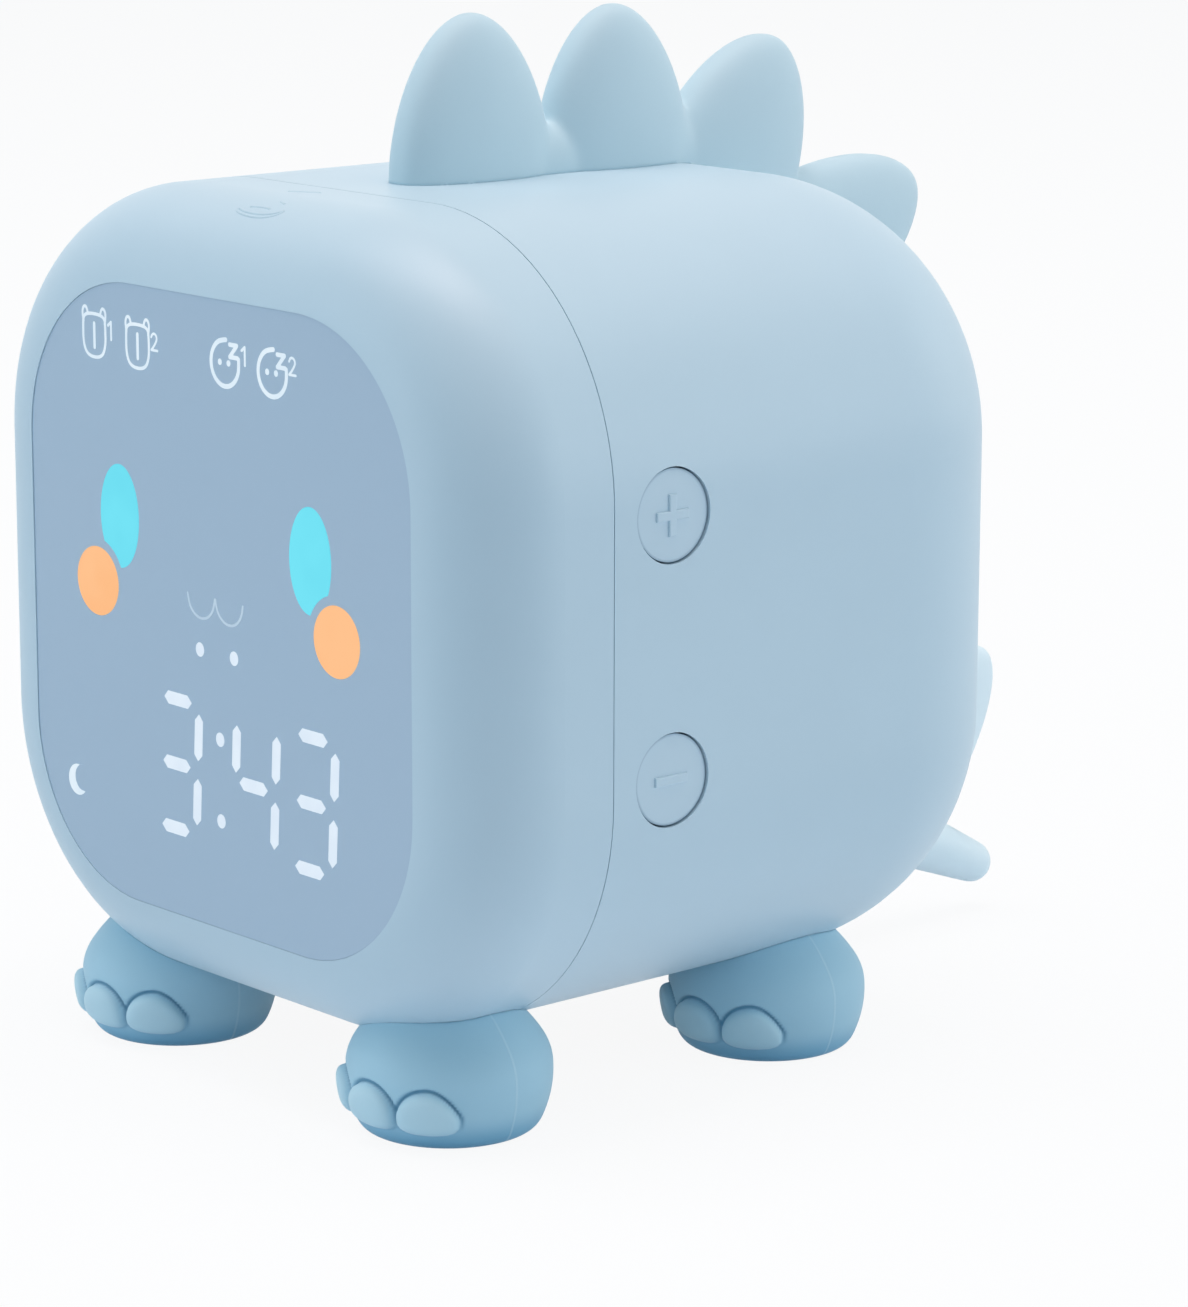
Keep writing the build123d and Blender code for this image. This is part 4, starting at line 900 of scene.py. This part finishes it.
def add_sleep_sign(mesh, x, z, number):
    """A small sleeping face, open at its upper right for a sleep sign, and its number."""
    add_stroke(mesh, ring_points(x, z, *SLEEP_HALF, SLEEP_FROM, SLEEP_TO), SLEEP_LINE)
    for hand in (-1, 1):
        add_disc(mesh, x + SLEEP_EYES[0] + hand * SLEEP_EYE_REACH, z + SLEEP_EYES[1], *SLEEP_EYE_HALF)
    sleep = moved(SLEEP_MARK, x, z)
    for ends in zip(sleep, sleep[1:]):
        add_stroke(mesh, ends, SLEEP_MARK_LINE, smooth=False)
    add_small_number(mesh, x + SLEEP_NUMBER[0], z + SLEEP_NUMBER[1], number)


def add_small_number(mesh, x, z, number):
    """A small 1 or 2 beside a sign."""
    if number == 1:
        one = moved(ONE, x, z)
        for ends in zip(one, one[1:]):
            add_stroke(mesh, ends, ONE_LINE, smooth=False)
    else:
        turns = (TWO_BOW_FROM, TWO_BOW_TO, TWO_BOW_COUNT)
        bow = ring_points(x, z + TWO_BOW_Z, TWO_BOW_RADIUS, TWO_BOW_RADIUS, *turns)
        add_stroke(mesh, bow + moved(TWO_STEM, x, z), TWO_LINE)
        add_stroke(mesh, moved(TWO_FOOT, x, z), TWO_LINE, smooth=False)


# The moon's hollow: its middle and radius, for a moon of radius 1
MOON_SEGMENTS = 96
MOON_HOLLOW = (0.55, 0.2, 0)
MOON_HOLLOW_RADIUS = 0.86


def add_moon(mesh, x, z, radius):
    """A small crescent: a disc whose right part is pushed in."""
    flat = bmesh.new()
    bmesh.ops.create_circle(flat, cap_ends=True, segments=MOON_SEGMENTS, radius=radius)
    hollow = Vector(MOON_HOLLOW) * radius
    room = radius * MOON_HOLLOW_RADIUS
    for vertex in flat.verts:
        across = vertex.co - hollow
        if across.length < room:
            vertex.co = hollow - Vector((abs(across.x), -across.y, 0)).normalized() * room
    bmesh.ops.translate(flat, vec=(x, z, 0), verts=flat.verts)
    lay_on_window(mesh, flat)


# The touch sign, in X and Y: the outline of a lying moon, and open lines above it
TOP_MOON = [(-2.6, -54.2), (-2.2, -55.2), (0.9, -55.8), (3.0, -55.5), (4.4, -54.6), (4.7, -53.3)]
TOP_MOON += [(4.0, -54.1), (2.9, -54.7), (1.2, -55.0), (-1.1, -54.8), (-2.0, -54.4)]
TOP_LINES = (
    ((-0.9, -53.6), (0.5, -53.2), (2.0, -53.5)),
    ((1.9, -51.5), (2.9, -51.9)),
    ((-2.4, -47.0), (-1.0, -46.2), (0.8, -45.4)),
)
TOP_SIGN_HALF_WIDTH = 0.24
TOP_SIGN_SINK = 0.14
TOP_SIGN_SEARCHES = 4


def on_top(x, y):
    """The point of the case's skin over a place near its top front edge, sunk a little."""
    point = Vector((x, y, TOP_Z))
    for _ in range(TOP_SIGN_SEARCHES):
        point += case_outward(point) * (case_depth(point) - TOP_SIGN_SINK)
    return point


def make_top_sign():
    """A barely raised touch sign on top of the face."""
    mesh = bmesh.new()
    for points in (TOP_MOON, *TOP_LINES):
        on_skin = [on_top(*point) for point in points]
        add_mesh(mesh, round_line(on_skin, TOP_SIGN_HALF_WIDTH, closed=points is TOP_MOON))
    finished("top_sign", mesh, "case", case_finish)


# The signs over the face, from the left: each pair's first place and the step to its second
ALARM_SIGNS = ((-20.75, 80.6), (7.9, -0.3))
SLEEP_SIGNS = ((2.6, 80.25), (8.1, -0.1))
MOON_X, MOON_Z = -25.6, 30.3
MOON_RADIUS = 1.75


def make_marks():
    """The lit marks and the mouth, whose glow is painted light, each kind of light a piece of its own."""
    eyes, cheeks, mouth, time, signs = (bmesh.new() for _ in range(5))
    for hand in (-1, 1):
        add_eye(eyes, hand)
        add_disc(cheeks, hand * CHEEK_X, CHEEK_Z, CHEEK_RADIUS, CHEEK_RADIUS)
        bow = ring_points(MOUTH_X + hand * MOUTH_REACH, MOUTH_Z, *MOUTH_HALF, start=180, end=360, count=8)
        add_stroke(mouth, bow, MOUTH_LINE)
        add_disc(time, DOTS_X + hand * DOTS_REACH, DOTS_Z, *DOT_HALF)
        add_disc(time, COLON_X, COLON_Z + hand * COLON_RISE, *DOT_HALF)
    for x, digit in TIME:
        add_digit(time, x, LIT_BARS[digit])
    for step in (0, 1):
        for add_sign, (first, apart) in ((add_alarm_sign, ALARM_SIGNS), (add_sleep_sign, SLEEP_SIGNS)):
            add_sign(signs, first[0] + step * apart[0], first[1] + step * apart[1], step + 1)
    add_moon(signs, MOON_X, MOON_Z, MOON_RADIUS)
    for name, mesh, finish, slot in (
        ("eyes_lit", eyes, eye_finish, "eye_light"),
        ("cheeks_lit", cheeks, cheek_finish, "cheek_light"),
        ("mouth_line", mouth, mouth_painted_glow_finish, "film"),
        ("time_lit", time, digit_finish, "digit_light"),
        ("signs_lit", signs, sign_finish, "digit_light"),
    ):
        bmesh.ops.translate(mesh, vec=(MARKS_SHIFT, 0, 0), verts=mesh.verts)
        finished(name, mesh, "case", finish)


# The window: its corners, how far it fills the gap round it, and its broken edge
WINDOW_CORNER = 18.3
WINDOW_CORNER_SEGMENTS = 32
WINDOW_GROWTH = 0.08
WINDOW_EDGE = 0.06
WINDOW_EDGE_SEGMENTS = 3
WINDOW_LARGE_FACE = 4 * MM * MM


def make_window():
    """The display's window with a barely broken front edge, snug in its frame."""
    low, high = (Vector(corner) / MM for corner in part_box("display_window"))
    size = high - low + Vector((2 * WINDOW_GROWTH, 0, 2 * WINDOW_GROWTH))
    mesh = bmesh.new()
    bmesh.ops.create_cube(mesh, size=1)
    bmesh.ops.scale(mesh, vec=size, verts=mesh.verts)
    bmesh.ops.translate(mesh, vec=(low + high) / 2, verts=mesh.verts)
    even = {"profile": 0.5, "affect": "EDGES", "material": -1}
    corner = WINDOW_CORNER + WINDOW_GROWTH
    through = [edge for edge in mesh.edges if abs(edge.verts[0].co.y - edge.verts[1].co.y) > size.y / 2]
    bmesh.ops.bevel(mesh, geom=through, offset=corner, segments=WINDOW_CORNER_SEGMENTS, **even)
    rim = [edge for edge in mesh.edges if all(vertex.co.y < low.y + size.y / 4 for vertex in edge.verts)]
    bmesh.ops.bevel(mesh, geom=rim, offset=WINDOW_EDGE, segments=WINDOW_EDGE_SEGMENTS, **even)
    window = finished("window_panel", mesh, "case", window_finish, ["display_window"])
    # Only the strips along the corners and the edge are smooth
    for polygon in window.data.polygons:
        polygon.use_smooth = len(polygon.vertices) == 4 and polygon.area < WINDOW_LARGE_FACE


# The lights stand on a ball round a point above the floor, in metres, and all are of one size
LIGHT_REACH = 1.5
LIGHT_SIZE = 0.8
LIGHT_CENTRE = (0, 0, 0.05)
# Each light's bearing from +X towards +Y and its height, in degrees, and its red, green and blue power in watts
LIGHTS = {
    "top_light": (0, 90, (10.2, 8.8, 8.3)),
    "high_left_light": (225, 65, (5.0, 4.5, 4.3)),
    "high_back_light": (45, 65, (2.9, 2.4, 2.1)),
    "low_left_light": (235, 5, (4.0, 4.7, 5.0)),
    "low_right_light": (35, 5, (4.6, 4.8, 4.9)),
    "rear_right_light": (72, 12, (2.2, 2.1, 1.9)),
}
ROOM_LIGHT = (0.2, 0.291, 0.36, 1)
WHITE = (1, 1, 1, 1)


def make_lamp(name, bearing, height, power):
    """A square light that faces the clock."""
    data = bpy.data.lights.new(name, "AREA")
    data.size = LIGHT_SIZE
    data.energy = max(power)
    data.color = [share / max(power) for share in power]
    turn = Matrix.Rotation(math.radians(bearing), 4, "Z") @ Matrix.Rotation(math.radians(90 - height), 4, "Y")
    out = Matrix.Translation((0, 0, LIGHT_REACH))
    placed(name, data).matrix_world = Matrix.Translation(LIGHT_CENTRE) @ turn @ out


def make_lights():
    """A bluish room that looks white itself, a soft light overhead and weaker ones round the clock."""
    world = bpy.data.worlds.new("room")
    bpy.context.scene.world = world
    world.use_nodes = True
    tree = world.node_tree
    tree.nodes.clear()
    output = tree.nodes.new("ShaderNodeOutputWorld")
    room = tree.nodes.new("ShaderNodeBackground")
    room.inputs["Color"].default_value = ROOM_LIGHT
    screen = tree.nodes.new("ShaderNodeBackground")
    screen.inputs["Color"].default_value = WHITE
    path = tree.nodes.new("ShaderNodeLightPath")
    blend = tree.nodes.new("ShaderNodeMixShader")
    either = tree.nodes.new("ShaderNodeMath")
    either.operation = "MAXIMUM"
    tree.links.new(path.outputs["Is Camera Ray"], either.inputs[0])
    tree.links.new(path.outputs["Is Glossy Ray"], either.inputs[1])
    tree.links.new(either.outputs[0], blend.inputs[0])
    tree.links.new(room.outputs[0], blend.inputs[1])
    tree.links.new(screen.outputs[0], blend.inputs[2])
    tree.links.new(blend.outputs[0], output.inputs["Surface"])
    for name, (bearing, height, power) in LIGHTS.items():
        make_lamp(name, bearing, height, power)


# The floor: a wide sheet a hair below the paws, nearly all glow to the camera
FLOOR_REACH = 6
FLOOR_DROP = 0.02 * MM
FLOOR_COLOUR = (0.8, 0.86, 0.92, 1)
FLOOR_ROUGHNESS = 0.9
FLOOR_GLOW = 0.92


def make_floor():
    """A floor that looks white and keeps a faint shadow."""
    mesh = bmesh.new()
    bmesh.ops.create_grid(mesh, x_segments=1, y_segments=1, size=FLOOR_REACH)
    bmesh.ops.translate(mesh, vec=(0, 0, -FLOOR_DROP), verts=mesh.verts)
    data = bpy.data.meshes.new("floor")
    mesh.to_mesh(data)
    mesh.free()
    floor = placed("floor", data)
    paint = Paint("floor_white")
    paint.set(Base_Color=FLOOR_COLOUR, Roughness=FLOOR_ROUGHNESS, Specular_IOR_Level=0.0)
    glow = paint.node("ShaderNodeEmission", inputs={"Color": WHITE, "Strength": 1.0})
    path = paint.node("ShaderNodeLightPath")
    seen = Value(paint, path.outputs["Is Camera Ray"]) * FLOOR_GLOW + Value(paint, path.outputs["Is Glossy Ray"])
    blend = paint.node("ShaderNodeMixShader", inputs=[seen, paint.shader.outputs[0], glow.outputs[0]])
    paint.feed(paint.output.inputs["Surface"], blend.outputs[0])
    data.materials.append(paint.material)


make_camera()
finish_nodes()
make_crest()
make_tail()
make_window()
make_marks()
make_top_sign()
for end, paw_y in PAW_YS.items():
    make_paw(f"{end}_right", PAW_X, paw_y)
    make_paw(f"{end}_left", -PAW_X, paw_y)
make_lights()
make_floor()
bpy.context.scene.view_settings.view_transform = "Standard"
